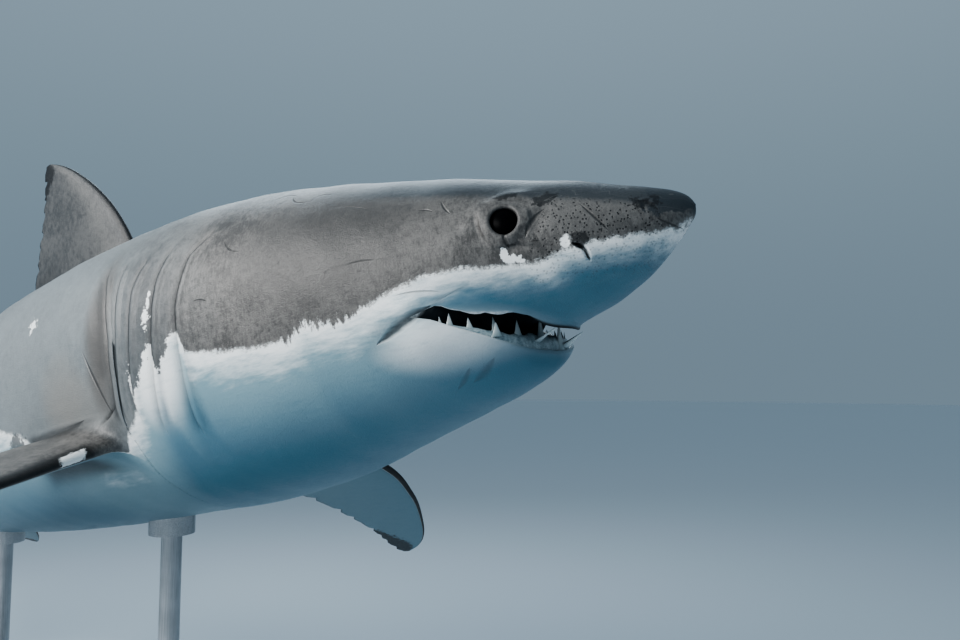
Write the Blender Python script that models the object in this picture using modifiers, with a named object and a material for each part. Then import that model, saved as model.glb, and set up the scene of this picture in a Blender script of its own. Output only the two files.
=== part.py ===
"""Great white shark, 4.2 m long, as a still life-size model on a display stand.

The body is one smooth loft parted into named lengths by thin cuts. The fins are
lofts of wing sections, trimmed to the body. The stand is a flat base with two
rods that end in saddles under the belly.

World frame: +X is where the shark swims to, +Y its left, +Z up, and the origin
is the centre of the base plate's underside. The anatomy is laid out in body
coordinates (s, y, z): s is the distance behind the tip of the snout, y is to the
left, z is up from the axis of the snout. They are in percent of the total
length, which is how a shark's proportions are given, and place() turns them
into metres in the world.
"""
import math

import bmesh
import bpy
from mathutils import Vector

# Driving dimensions -----------------------------------------------------------
TOTAL_LENGTH = 4.2                      # m, snout to the tip of the upper tail lobe
PERCENT = TOTAL_LENGTH / 100            # one body unit in metres
NOSE_UP = math.radians(12.8)            # climb of the swimming pose
SNOUT_X = 1.80                          # m, snout axis ahead of the base's centre
SNOUT_HEIGHT = 1.62                     # m, snout axis above the floor
HEAD_TURN = 2.3                         # the snout's swing to the left, from the gills on
HEAD_TURN_START = 20.0
TAIL_SWEEP = 4.0                        # the tail tip's swing to the left
TAIL_SWEEP_START = 50.0
CUT = 0.012                             # thin cut between two lengths of the body
CLEARANCE = 0.0004                      # m, between solids that meet

# Body outline: distance from the snout, back, belly, half width
BODY_STATIONS = (
    (0.10, 0.10, 0.10, 0.00),
    (0.25, 0.46, -0.30, 0.44),
    (0.60, 0.80, -0.66, 0.86),
    (1.50, 1.25, -1.44, 1.60),
    (3.00, 1.86, -2.42, 2.58),
    (4.50, 2.49, -3.06, 3.36),
    (6.20, 3.05, -3.52, 3.98),
    (7.05, 3.35, -3.80, 4.34),
    (8.20, 3.78, -4.42, 4.82),
    (9.50, 4.25, -5.45, 5.25),
    (10.5, 4.56, -6.22, 5.53),
    (11.0, 4.70, -6.34, 5.66),
    (15.0, 5.90, -7.22, 6.60),
    (20.0, 7.17, -8.22, 7.34),
    (25.0, 7.92, -8.54, 7.84),
    (30.0, 8.29, -8.38, 7.79),
    (35.0, 8.50, -8.28, 7.53),
    (42.0, 8.42, -7.92, 7.08),
    (50.0, 7.40, -7.15, 5.90),
    (58.0, 5.98, -6.05, 4.74),
    (66.0, 4.30, -4.42, 3.50),
    (74.0, 2.80, -2.90, 2.30),
    (80.0, 1.80, -1.80, 1.35),
    (84.0, 1.30, -1.30, 1.00),
    (87.0, 0.80, -0.80, 0.60),
    (88.4, 0.30, -0.30, 0.20),
)
# The lower jaw's underside, from the chin to the corner of the mouth (s, z)
JAW_LINE = ((7.34, -4.10), (7.52, -4.66), (7.76, -5.10), (8.25, -5.46), (9.50, -5.95),
            (10.5, -6.22))
SECTION_POWER = 2.15                    # a little fuller than an ellipse
COLUMNS = 32                            # points round the body
KEEL_START, KEEL_END = 75.0, 88.4       # the ridge along each side of the tail stock
KEEL_WIDTH = 1.4

# Lengths of the body: name and the rings of its loft
BODY_LENGTHS = (
    ("gill_region", (18.5, 20.0, 21.5, 23.0, 24.5, 26.0, 27.5)),
    ("trunk_front", (27.5, 29.0, 31.0, 33.5, 36.5, 40.0, 43.5, 47.0, 50.0)),
    ("trunk_rear", (50.0, 53.0, 56.5, 60.0, 64.0, 68.0)),
    ("tail_stock", (68.0, 71.0, 74.0, 76.0, 78.0, 80.0, 82.0, 84.0, 86.0, 87.4, 88.4)),
)
HEAD_RINGS = (0.12, 0.22, 0.45, 0.85, 1.5, 2.3, 3.2, 4.2, 5.2, 6.2, 7.05, 8.2, 9.4,
              10.5, 12.5, 14.2, 16.3, 18.5)
JAW_RINGS = (7.35, 7.42, 7.52, 7.62, 7.76, 8.0, 8.4, 9.0, 9.7, 10.5, 12.5, 14.2)

# Edges of the lips from the front to the corner of the mouth (s, z)
UPPER_LIP = ((6.05, -3.50), (6.25, -3.46), (6.45, -3.35), (6.60, -3.20), (6.80, -3.00),
             (7.05, -2.86), (7.55, -2.78), (8.00, -2.72), (8.55, -2.60), (9.00, -2.41),
             (9.40, -2.22), (9.85, -2.28), (10.45, -2.52))
LOWER_LIP = ((7.42, -4.44), (7.50, -4.34), (7.70, -4.13), (7.97, -3.88), (8.60, -3.47),
             (9.20, -3.10), (9.85, -2.70), (10.45, -2.52))
JAW_HINGE_LINE = ((12.2, -4.6), (13.4, -8.0))   # the cut behind the jaw
MOUTH_FRONT = 5.4                       # clear of the snout
BELOW_JAW = -8.0
PRISM_REACH = 0.5                       # m, half the width of a cut right across
GUM_STEP = 0.02
TOOTH_PAIRS = 6                         # lower teeth on each side
TOOTH_SPACING = 0.85
TOOTH_HEIGHT = 0.62
TOOTH_LEAN = 0.12                       # the tip's lean outward
TOOTH_TAPER = 0.75                      # loss of height towards the corner
TOOTH_WIDTH = 0.62
TOOTH_THICKNESS = 0.26
TOOTH_INSET = 0.42                      # from the lip's outer edge
TOOTH_ROOT = 0.25                       # sunk in the gum

# Eyes and nostrils: place on the head (s, z)
EYE_PLACE = (6.4, 0.6)
EYE_RADIUS = 0.026                      # m
EYE_OPENING = 0.023                     # m, radius of the part that shows
NOSTRIL_PLACE = (3.9, -1.28)
NOSTRIL_SIZE = (0.006, 0.004, 0.016)    # m, half sizes

# Gill slits on each side, front to back: (s, z) from the top to the bottom
GILL_SLITS = (
    ((19.9, 4.1), (20.9, 3.2), (21.4, 0.8), (21.4, -1.8), (21.8, -4.9)),
    ((22.3, 4.0), (22.75, 2.6), (22.95, 0.2), (23.15, -1.8), (23.8, -4.4)),
    ((24.0, 3.9), (24.45, 2.5), (24.5, 0.1), (24.75, -1.6), (25.1, -3.6)),
    ((25.7, 4.1), (25.7, 2.8), (25.55, 0.6), (25.7, -1.3), (26.1, -3.4)),
    ((27.3, 4.4), (26.6, 2.6), (26.2, 0.4), (26.25, -1.5), (26.6, -3.4)),
)
GILL_STEPS = 9
GILL_DEPTH = 0.2                        # in the middle of a slit
GILL_END_SHARE = 0.5                    # of that depth, at a slit's two ends
GILL_CUTTER_TOP = 0.5                   # how far the cutting wedge stands out of the skin
GILL_CUTTER_HALF_WIDTH = 0.24           # there

# Fins: rows of distance out from the root line, leading edge, trailing edge, thickness
FIRST_DORSAL = (
    (6.80, 34.0, 47.4, 1.50),
    (8.20, 34.5, 49.6, 1.35),
    (9.00, 34.7, 48.9, 1.25),
    (10.0, 35.1, 47.5, 1.15),
    (12.5, 36.5, 46.5, 0.95),
    (15.0, 38.6, 45.5, 0.75),
    (17.0, 40.9, 44.95, 0.50),
    (18.1, 42.6, 44.75, 0.32),
    (18.6, 43.7, 44.5, 0.20),
)
SECOND_DORSAL = (
    (1.90, 72.6, 75.2, 0.45),
    (2.80, 73.0, 76.6, 0.40),
    (3.40, 73.7, 76.3, 0.30),
    (4.10, 74.8, 76.0, 0.20),
    (4.35, 75.4, 75.9, 0.12),
)
ANAL = (
    (1.80, 74.9, 77.2, 0.45),
    (2.75, 75.2, 78.6, 0.38),
    (3.30, 75.9, 78.4, 0.30),
    (4.00, 76.9, 78.1, 0.20),
    (4.30, 77.5, 78.0, 0.12),
)
CAUDAL_UPPER = (
    (0.01, 83.5, 89.6, 0.90),
    (1.50, 82.9, 89.9, 0.80),
    (4.00, 85.9, 91.8, 0.65),
    (8.00, 89.9, 94.4, 0.45),
    (12.0, 94.2, 97.0, 0.28),
    (14.2, 97.2, 98.3, 0.16),
    (14.6, 97.9, 98.5, 0.12),
)
CAUDAL_LOWER = (
    (0.01, 84.5, 89.6, 0.90),
    (1.50, 84.0, 89.8, 0.80),
    (4.00, 86.1, 91.4, 0.62),
    (8.00, 89.4, 93.5, 0.42),
    (11.5, 93.0, 95.5, 0.25),
    (13.1, 95.0, 96.3, 0.15),
    (13.4, 95.6, 96.4, 0.12),
)
PECTORAL = (
    (-4.0, 28.0, 33.8, 2.20),
    (0.00, 27.3, 34.8, 1.90),
    (2.00, 27.1, 37.6, 1.70),
    (3.50, 26.9, 38.4, 1.50),
    (6.50, 26.8, 36.9, 1.20),
    (10.0, 27.8, 35.8, 0.95),
    (14.0, 30.0, 35.5, 0.62),
    (17.0, 32.3, 36.0, 0.38),
    (18.4, 34.1, 36.1, 0.25),
    (18.85, 35.1, 35.9, 0.18),
)
PECTORAL_ROOT = (6.9, -4.4)             # y and z of its root line
PECTORAL_DROOP = {"left": math.radians(32), "right": math.radians(14)}
PECTORAL_TWIST = {"left": 0.0, "right": math.radians(7)}   # trailing edge raised
PELVIC = (
    (-2.0, 58.3, 62.5, 1.00),
    (0.00, 58.0, 64.1, 0.85),
    (1.00, 58.5, 64.8, 0.70),
    (2.20, 59.4, 64.1, 0.50),
    (3.40, 60.7, 63.7, 0.32),
    (4.10, 61.9, 63.3, 0.20),
    (4.35, 62.5, 63.0, 0.15),
)
PELVIC_ROOT = (2.7, -5.4)
PELVIC_DROOP = math.radians(32)
FIN_EDGE = 0.02                         # half thickness of a trailing edge
UNDERSIDE = 0.6                         # the flatter lower face of the paired fins
WING_STEPS = (0.0, 0.03, 0.1, 0.22, 0.4, 0.6, 0.8, 1.0)

# Stand, in metres
BASE_SIZE = (1.9, 0.9, 0.04)
BASE_BEVEL = 0.006
ROD_RADIUS = 0.025
ROD_STATIONS = {"front": 34.0, "rear": 54.0}
FLANGE_RADIUS = 0.08
FLANGE_HEIGHT = 0.014
SADDLE_RADIUS = 0.055
SADDLE_DROP = 0.035                     # below where the belly's midline is

# Materials: colour, roughness, metallic
FLESH = ((0.20, 0.20, 0.20), 0.5, 0.0)
EYE_BLACK = ((0.01, 0.01, 0.012), 0.1, 0.0)
STAND_PAINT = ((0.05, 0.05, 0.055), 0.45, 0.0)
STEEL = ((0.55, 0.56, 0.57), 0.3, 1.0)

COLLECTION_NAME = "great_white_shark"


# Scene helpers ----------------------------------------------------------------
def clear_scene():
    """Remove every object, so that the script can be run again."""
    for item in list(bpy.data.objects):
        bpy.data.objects.remove(item, do_unlink=True)


def new_collection(name):
    """A collection linked to the scene."""
    collection = bpy.data.collections.new(name)
    bpy.context.scene.collection.children.link(collection)
    return collection


def finish_object(item, collection, look=None):
    """Move an object to its collection and give it a material of its own."""
    for owner in list(item.users_collection):
        owner.objects.unlink(item)
    collection.objects.link(item)
    if look is None:
        item.hide_render = True
        item.display_type = "WIRE"
        return item
    colour, roughness, metallic = look
    material = bpy.data.materials.new(item.name)
    material.use_nodes = True
    shader = material.node_tree.nodes["Principled BSDF"]
    shader.inputs["Base Color"].default_value = (*colour, 1.0)
    shader.inputs["Roughness"].default_value = roughness
    shader.inputs["Metallic"].default_value = metallic
    item.data.materials.clear()
    item.data.materials.append(material)
    return item


def mesh_object(name, shape, collection, look=None):
    """Turn a bmesh into an object with its faces pointing out."""
    bmesh.ops.recalc_face_normals(shape, faces=shape.faces)
    mesh = bpy.data.meshes.new(name)
    shape.to_mesh(mesh)
    shape.free()
    item = bpy.data.objects.new(name, mesh)
    bpy.context.scene.collection.objects.link(item)
    return finish_object(item, collection, look)


def boolean(item, cutter, operation="DIFFERENCE"):
    """Cut an object, or join it, with another."""
    modifier = item.modifiers.new(cutter.name, "BOOLEAN")
    modifier.operation = operation
    modifier.solver = "EXACT"
    modifier.object = cutter


def cylinder(name, radius, bottom, top, x, y, collection, look=None, sides=32):
    """An upright cylinder between two heights."""
    bpy.ops.mesh.primitive_cylinder_add(
        vertices=sides, radius=radius, depth=top - bottom, location=(x, y, (top + bottom) / 2))
    item = bpy.context.object
    item.name = name
    item.data.name = name
    return finish_object(item, collection, look)


# Body shape -------------------------------------------------------------------
def smooth_value(rows, column, at):
    """Read one column of a table at a distance, by a curve that never overshoots."""
    if at <= rows[0][0]:
        return rows[0][column]
    if at >= rows[-1][0]:
        return rows[-1][column]
    index = max(i for i in range(len(rows) - 1) if rows[i][0] <= at)
    steps = [rows[i + 1][0] - rows[i][0] for i in range(len(rows) - 1)]
    rises = [(rows[i + 1][column] - rows[i][column]) / steps[i] for i in range(len(rows) - 1)]

    def slope(i):
        if i == 0:
            return rises[0]
        if i == len(rows) - 1:
            return rises[-1]
        before, after = rises[i - 1], rises[i]
        if before * after <= 0:
            return 0.0
        near = 2 * steps[i] + steps[i - 1]
        far = steps[i] + 2 * steps[i - 1]
        return (near + far) / (near / before + far / after)

    width = steps[index]
    t = (at - rows[index][0]) / width
    start, end = rows[index][column], rows[index + 1][column]
    return ((1 + 2 * t) * (1 - t) ** 2 * start + t * (1 - t) ** 2 * width * slope(index)
            + t * t * (3 - 2 * t) * end + t * t * (t - 1) * width * slope(index + 1))


def place(s, y, z):
    """Body coordinates, in percent of the length, to world metres."""
    turn = max(HEAD_TURN_START - s, 0.0) / HEAD_TURN_START
    sweep = max(s - TAIL_SWEEP_START, 0.0) / (100 - TAIL_SWEEP_START)
    y += HEAD_TURN * turn ** 2 + TAIL_SWEEP * sweep ** 2
    x = -s * math.cos(NOSE_UP) - z * math.sin(NOSE_UP)
    height = -s * math.sin(NOSE_UP) + z * math.cos(NOSE_UP)
    return Vector((SNOUT_X + PERCENT * x, PERCENT * y, SNOUT_HEIGHT + PERCENT * height))


def body_size(s, jaw=False):
    """Back, belly and half width at a distance from the snout.

    In front of the corner of the mouth, the belly is the palate's or the lower jaw's.
    """
    back, belly, width = (smooth_value(BODY_STATIONS, column, s) for column in (1, 2, 3))
    if jaw and s < JAW_LINE[-1][0]:
        belly = smooth_value(JAW_LINE, 1, s)
    return back, belly, width


def keel_width(s):
    """How far the side keel stands out."""
    along = (s - KEEL_START) / (KEEL_END - KEEL_START)
    return KEEL_WIDTH * math.sin(math.pi * along) if 0 < along < 1 else 0.0


def signed_power(value, power):
    """A power that keeps the sign."""
    return math.copysign(abs(value) ** power, value)


def body_ring(s, grow=0.0, jaw=False):
    """Points round the body at one station, from the belly's midline on."""
    back, belly, width = body_size(s, jaw)
    middle = (back + belly) / 2
    height = (back - belly) / 2 + grow
    points = []
    for column in range(COLUMNS):
        turn = 2 * math.pi * column / COLUMNS
        y = -(width + grow) * signed_power(math.sin(turn), 2 / SECTION_POWER)
        z = middle - height * signed_power(math.cos(turn), 2 / SECTION_POWER)
        if column * 4 in (COLUMNS, 3 * COLUMNS):
            y += math.copysign(keel_width(s), y)
        points.append(place(s, y, z))
    return points


def side_width(s, z, jaw=False):
    """Half width of the body at a height."""
    back, belly, width = body_size(s, jaw)
    level = abs(z - (back + belly) / 2) / ((back - belly) / 2)
    return width * max(1 - level ** SECTION_POWER, 0.0) ** (1 / SECTION_POWER)


def skin_point(s, z, side):
    """World point on the body's side, +1 for the left."""
    return place(s, side * side_width(s, z), z)


def skin_normal(s, z, side):
    """Outward direction of the skin there."""
    step = 0.1
    along = skin_point(s + step, z, side) - skin_point(s - step, z, side)
    up = skin_point(s, z + step, side) - skin_point(s, z - step, side)
    normal = along.cross(up).normalized()
    return normal if normal.y * side > 0 else -normal


def loft(name, rings, collection, look=None):
    """A closed solid through rings with equal numbers of points."""
    shape = bmesh.new()
    rows = [[shape.verts.new(point) for point in ring] for ring in rings]
    for row, following in zip(rows, rows[1:]):
        for i in range(len(row)):
            j = (i + 1) % len(row)
            shape.faces.new((row[i], row[j], following[j], following[i]))
    shape.faces.new(rows[0])
    shape.faces.new(rows[-1])
    return mesh_object(name, shape, collection, look)


def body_length(name, stations, collection):
    """One length of the body, short of its neighbours by the thin cut."""
    inner = list(stations)
    inner[0] += CUT / 2
    inner[-1] -= CUT / 2
    return loft(name, [body_ring(s) for s in inner], collection, FLESH)


def body_cutter(collection):
    """The whole body, grown by the clearance, that trims what meets it."""
    stations = sorted({s for _, rings in BODY_LENGTHS for s in rings})
    grow = CLEARANCE / PERCENT
    rings = [body_ring(s, grow) for s in stations]
    tail_cap = [point + Vector((-CLEARANCE, 0, 0)) for point in rings[-1]]
    return loft("body_cutter", rings + [tail_cap], collection)


# Head -------------------------------------------------------------------------
def side_prism(name, outline, collection):
    """An outline in the side view, carried right across the body."""
    shape = bmesh.new()
    flat = [place(s, 0, z) for s, z in outline]
    left = [shape.verts.new((point.x, PRISM_REACH, point.z)) for point in flat]
    right = [shape.verts.new((point.x, -PRISM_REACH, point.z)) for point in flat]
    shape.faces.new(left)
    shape.faces.new(right)
    for i in range(len(outline)):
        j = (i + 1) % len(outline)
        shape.faces.new((left[i], left[j], right[j], right[i]))
    return mesh_object(name, shape, collection)


def jaw_outline(lip, back_shift):
    """Side outline of all that lies below a lip and ahead of the jaw's hinge line."""
    hinge = [(s + back_shift, z) for s, z in JAW_HINGE_LINE]
    return [*lip, *hinge, (MOUTH_FRONT, BELOW_JAW), (MOUTH_FRONT, lip[0][1])]


def tooth(shape, foot, along, outward, up, height):
    """A flat pointed blade with its root in the gum."""
    half_width = along * TOOTH_WIDTH / 2 * PERCENT
    half_depth = outward * TOOTH_THICKNESS / 2 * PERCENT
    root = foot - up * TOOTH_ROOT * PERCENT
    tip = foot + (up * height + outward * TOOTH_LEAN) * PERCENT
    rim = [shape.verts.new(root + offset)
           for offset in (half_width, half_depth, -half_width, -half_depth)]
    point = shape.verts.new(tip)
    shape.faces.new(rim)
    for i in range(4):
        shape.faces.new((rim[i], rim[(i + 1) % 4], point))


def gum_line(side):
    """World points along the gum on one side of the lower jaw, from the front back."""
    first, last = LOWER_LIP[0][0], LOWER_LIP[-1][0]
    points = []
    for i in range(round((last - first) / GUM_STEP)):
        s = first + GUM_STEP * i
        z = smooth_value(LOWER_LIP, 1, s)
        width = side_width(s - TOOTH_INSET, z, jaw=True) - TOOTH_INSET
        if width > 0:
            points.append(place(s, side * width, z))
    return points


def lower_teeth(collection):
    """Blades at even spaces along both sides of the lower jaw."""
    shape = bmesh.new()
    up = (place(0, 0, 1) - place(0, 0, 0)).normalized()
    for side in (1, -1):
        points = gum_line(side)
        travelled = 0.0
        due = TOOTH_SPACING / 2 * PERCENT
        made = 0
        for here, ahead in zip(points, points[1:]):
            travelled += (ahead - here).length
            if travelled >= due and made < TOOTH_PAIRS:
                along = (ahead - here).normalized()
                outward = side * along.cross(up).normalized()
                height = TOOTH_HEIGHT * (1 - TOOTH_TAPER * (made / TOOTH_PAIRS) ** 2)
                tooth(shape, here, along, outward, up, height)
                due += TOOTH_SPACING * PERCENT
                made += 1
    return mesh_object("lower_teeth", shape, collection)


def sphere(name, radius, centre, collection, look=None, segments=16):
    """A ball."""
    bpy.ops.mesh.primitive_uv_sphere_add(
        segments=segments, ring_count=segments * 5 // 8, radius=radius, location=centre)
    item = bpy.context.object
    item.name = name
    item.data.name = name
    return finish_object(item, collection, look)


def nostril_cutter(name, side, collection):
    """A small upright pit in the skin."""
    s, z = NOSTRIL_PLACE
    item = sphere(name, 1.0, skin_point(s, z, side), collection, segments=8)
    item.scale = NOSTRIL_SIZE
    item.rotation_euler = (0, -NOSE_UP, 0)
    return item


def make_head(parts, cutters):
    """Snout and upper jaw, the lower jaw with its teeth, and the eyes."""
    rings = [body_ring(s) for s in HEAD_RINGS[:-1]] + [body_ring(HEAD_RINGS[-1] - CUT / 2)]
    head = loft("head", rings, parts, FLESH)
    jaw = loft("lower_jaw", [body_ring(s, jaw=True) for s in JAW_RINGS], parts, FLESH)
    boolean(head, side_prism("mouth_cutter", jaw_outline(UPPER_LIP, CUT), cutters))
    boolean(jaw, side_prism("jaw_region", jaw_outline(LOWER_LIP, 0.0), cutters), "INTERSECT")
    boolean(jaw, lower_teeth(cutters), "UNION")
    depth = math.sqrt(EYE_RADIUS ** 2 - EYE_OPENING ** 2)
    for name, side in (("left", 1), ("right", -1)):
        centre = skin_point(*EYE_PLACE, side) - depth * skin_normal(*EYE_PLACE, side)
        sphere("eye_" + name, EYE_RADIUS, centre, parts, EYE_BLACK)
        boolean(head, sphere("socket_" + name, EYE_RADIUS + CLEARANCE, centre, cutters))
        boolean(head, nostril_cutter("nostril_" + name, side, cutters))


def gill_groove(shape, slit, side):
    """A thin wedge along one gill slit, its edge in the body."""
    rising = [(z, s) for s, z in slit[::-1]]
    bottom, top = rising[0][0], rising[-1][0]
    rows = []
    for i in range(GILL_STEPS):
        t = i / (GILL_STEPS - 1)
        z = top + (bottom - top) * t
        s = smooth_value(rising, 1, z)
        depth = GILL_DEPTH * (GILL_END_SHARE + (1 - GILL_END_SHARE) * math.sin(math.pi * t))
        normal = skin_normal(s, z, side)
        out = normal * GILL_CUTTER_TOP * PERCENT
        rows.append([shape.verts.new(point) for point in (
            skin_point(s - GILL_CUTTER_HALF_WIDTH, z, side) + out,
            skin_point(s + GILL_CUTTER_HALF_WIDTH, z, side) + out,
            skin_point(s, z, side) - normal * depth * PERCENT)])
    for row, following in zip(rows, rows[1:]):
        for i in range(3):
            j = (i + 1) % 3
            shape.faces.new((row[i], row[j], following[j], following[i]))
    shape.faces.new(rows[0])
    shape.faces.new(rows[-1])


def make_gills(gill_region, cutters):
    """Five slits on each side."""
    shape = bmesh.new()
    for side in (1, -1):
        for slit in GILL_SLITS:
            gill_groove(shape, slit, side)
    boolean(gill_region, mesh_object("gill_cutter", shape, cutters))


# Fins -------------------------------------------------------------------------
def wing_half_thickness(share):
    """Shape of a fin's section from its leading edge, with a peak of 0.5."""
    return 5 * (0.2969 * math.sqrt(share) - 0.1260 * share - 0.3516 * share ** 2
                + 0.2843 * share ** 3 - 0.1015 * share ** 4)


def fin(name, rows, to_body, parts, sections, twist=0.0, lower_share=1.0):
    """A loft of wing sections; to_body turns (distance out, s, offset) into (s, y, z)."""
    first, last = rows[0][0], rows[-1][0]
    rings = []
    for i in range(sections):
        out = first + (last - first) * math.sin(math.pi / 2 * i / (sections - 1))
        lead, trail, thick = (smooth_value(rows, column, out) for column in (1, 2, 3))
        upper, lower = [], []
        for share in WING_STEPS:
            s = lead + (trail - lead) * share
            offset = thick * wing_half_thickness(share) + FIN_EDGE * share
            rise = (s - lead) * math.tan(twist)
            upper.append(place(*to_body(out, s, rise + offset)))
            lower.append(place(*to_body(out, s, rise - offset * lower_share)))
        rings.append(upper + lower[:0:-1])
    return loft(name, rings, parts, FLESH)


def upright(direction):
    """Layout of a fin on the midline, +1 above the body and -1 below."""
    return lambda out, s, offset: (s, offset, direction * out)


def paired(root, droop, side):
    """Layout of a fin that stands out from one side and droops."""
    root_y, root_z = root

    def to_body(out, s, offset):
        y = root_y + out * math.cos(droop) + offset * math.sin(droop)
        z = root_z - out * math.sin(droop) + offset * math.cos(droop)
        return s, side * y, z

    return to_body


def make_fins(trim, parts):
    """All fins, trimmed to the body."""
    fins = [
        fin("dorsal_fin_first", FIRST_DORSAL, upright(1), parts, sections=13),
        fin("dorsal_fin_second", SECOND_DORSAL, upright(1), parts, sections=7),
        fin("anal_fin", ANAL, upright(-1), parts, sections=7),
        fin("caudal_fin_upper", CAUDAL_UPPER, upright(1), parts, sections=11),
        fin("caudal_fin_lower", CAUDAL_LOWER, upright(-1), parts, sections=11),
    ]
    for name, side in (("left", 1), ("right", -1)):
        fins.append(fin("pectoral_fin_" + name, PECTORAL,
                        paired(PECTORAL_ROOT, PECTORAL_DROOP[name], side), parts, sections=15,
                        twist=PECTORAL_TWIST[name], lower_share=UNDERSIDE))
        fins.append(fin("pelvic_fin_" + name, PELVIC,
                        paired(PELVIC_ROOT, PELVIC_DROOP, side), parts, sections=9,
                        lower_share=UNDERSIDE))
    for item in fins:
        boolean(item, trim)


# Stand ------------------------------------------------------------------------
def make_stand(trim, parts):
    """A flat base with two rods, each with a flange at its foot and a saddle on top."""
    length, width, height = BASE_SIZE
    bpy.ops.mesh.primitive_cube_add(size=1, location=(0, 0, height / 2))
    base = bpy.context.object
    base.name = "stand_base"
    base.data.name = "stand_base"
    base.data.transform(((length, 0, 0, 0), (0, width, 0, 0), (0, 0, height, 0), (0, 0, 0, 1)))
    finish_object(base, parts, STAND_PAINT)
    bevel = base.modifiers.new("edges", "BEVEL")
    bevel.width = BASE_BEVEL
    bevel.segments = 2
    for name, s in ROD_STATIONS.items():
        belly = place(s, 0, body_size(s)[1])
        flange_bottom = height + CLEARANCE
        rod_bottom = flange_bottom + FLANGE_HEIGHT + CLEARANCE
        saddle_bottom = belly.z - SADDLE_DROP
        cylinder("stand_flange_" + name, FLANGE_RADIUS, flange_bottom,
                 flange_bottom + FLANGE_HEIGHT, belly.x, belly.y, parts, STEEL)
        cylinder("stand_rod_" + name, ROD_RADIUS, rod_bottom, saddle_bottom - CLEARANCE,
                 belly.x, belly.y, parts, STEEL)
        saddle = cylinder("stand_saddle_" + name, SADDLE_RADIUS, saddle_bottom,
                          belly.z + SADDLE_DROP, belly.x, belly.y, parts, STEEL)
        boolean(saddle, trim)


def main():
    clear_scene()
    parts = new_collection(COLLECTION_NAME)
    cutters = new_collection("cutters")
    make_head(parts, cutters)
    lengths = {name: body_length(name, rings, parts) for name, rings in BODY_LENGTHS}
    make_gills(lengths["gill_region"], cutters)
    trim = body_cutter(cutters)
    make_fins(trim, parts)
    make_stand(trim, parts)


main()
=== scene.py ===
"""Looks of the great white shark display model: one skin over the body and fins,
eyes, gums, teeth, the stand's finishes, and the stage that it is shown on.

The body's layout is in body coordinates (s, y, z), in percent of the total length:
s is the distance behind the tip of the snout, y is to the left, z is up from the
snout's axis. place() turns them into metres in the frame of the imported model.
"""
import math

import bmesh
import bpy
import numpy as np
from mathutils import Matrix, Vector


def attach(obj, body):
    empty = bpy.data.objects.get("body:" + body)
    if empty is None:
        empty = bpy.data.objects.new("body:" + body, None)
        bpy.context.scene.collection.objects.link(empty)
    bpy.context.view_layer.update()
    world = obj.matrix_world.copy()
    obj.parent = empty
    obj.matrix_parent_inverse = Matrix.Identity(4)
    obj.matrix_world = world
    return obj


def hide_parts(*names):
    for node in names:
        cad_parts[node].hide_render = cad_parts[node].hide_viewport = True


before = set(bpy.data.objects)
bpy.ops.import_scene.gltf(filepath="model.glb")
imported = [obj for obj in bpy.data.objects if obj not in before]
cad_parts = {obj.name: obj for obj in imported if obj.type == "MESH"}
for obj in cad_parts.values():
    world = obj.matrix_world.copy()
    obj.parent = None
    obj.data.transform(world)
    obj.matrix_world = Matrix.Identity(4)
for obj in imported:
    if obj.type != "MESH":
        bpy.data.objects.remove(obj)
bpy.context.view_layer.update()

bl_info = {
    "name": "Great White Shark Display Model",
    "version": (1, 0, 0),
    "blender": (4, 5, 0),
    "location": "View3D > Sidebar > Shark",
    "description": "Skin, eyes, mouth, stand and stage of a life-size shark model",
    "category": "Object",
}

# Pose and body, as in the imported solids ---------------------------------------
UNIT = 0.042                            # m, one percent of the total length
NOSE_UP = math.radians(12.8)
SNOUT_X = 1.80
SNOUT_HEIGHT = 1.62
HEAD_TURN, HEAD_TURN_START = 2.3, 20.0
TAIL_SWEEP, TAIL_SWEEP_START = 4.0, 50.0
SECTION_POWER = 2.15

# Distance from the snout, back, belly, half width
BODY_STATIONS = (
    (0.10, 0.10, 0.10, 0.00),
    (0.25, 0.46, -0.30, 0.44),
    (0.60, 0.80, -0.66, 0.86),
    (1.50, 1.25, -1.44, 1.60),
    (3.00, 1.86, -2.42, 2.58),
    (4.50, 2.49, -3.06, 3.36),
    (6.20, 3.05, -3.52, 3.98),
    (7.05, 3.35, -3.80, 4.34),
    (8.20, 3.78, -4.42, 4.82),
    (9.50, 4.25, -5.45, 5.25),
    (10.5, 4.56, -6.22, 5.53),
    (11.0, 4.70, -6.34, 5.66),
    (15.0, 5.90, -7.22, 6.60),
    (20.0, 7.17, -8.22, 7.34),
    (25.0, 7.92, -8.54, 7.84),
    (30.0, 8.29, -8.38, 7.79),
    (35.0, 8.50, -8.28, 7.53),
    (42.0, 8.42, -7.92, 7.08),
    (50.0, 7.40, -7.15, 5.90),
    (58.0, 5.98, -6.05, 4.74),
    (66.0, 4.30, -4.42, 3.50),
    (74.0, 2.80, -2.90, 2.30),
    (80.0, 1.80, -1.80, 1.35),
    (84.0, 1.30, -1.30, 1.00),
    (87.0, 0.80, -0.80, 0.60),
    (88.4, 0.30, -0.30, 0.20),
)
# The lower jaw's underside, from the chin to the corner of the mouth (s, z)
JAW_LINE = ((7.34, -4.10), (7.52, -4.66), (7.76, -5.10), (8.25, -5.46), (9.50, -5.95),
            (10.5, -6.22))
# The ridge along each side of the tail stock, and how quickly it fades up and down
KEEL_START, KEEL_END, KEEL_WIDTH = 75.0, 88.4, 1.4
KEEL_SPREAD, KEEL_POWER = math.radians(10), 1.3

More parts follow.
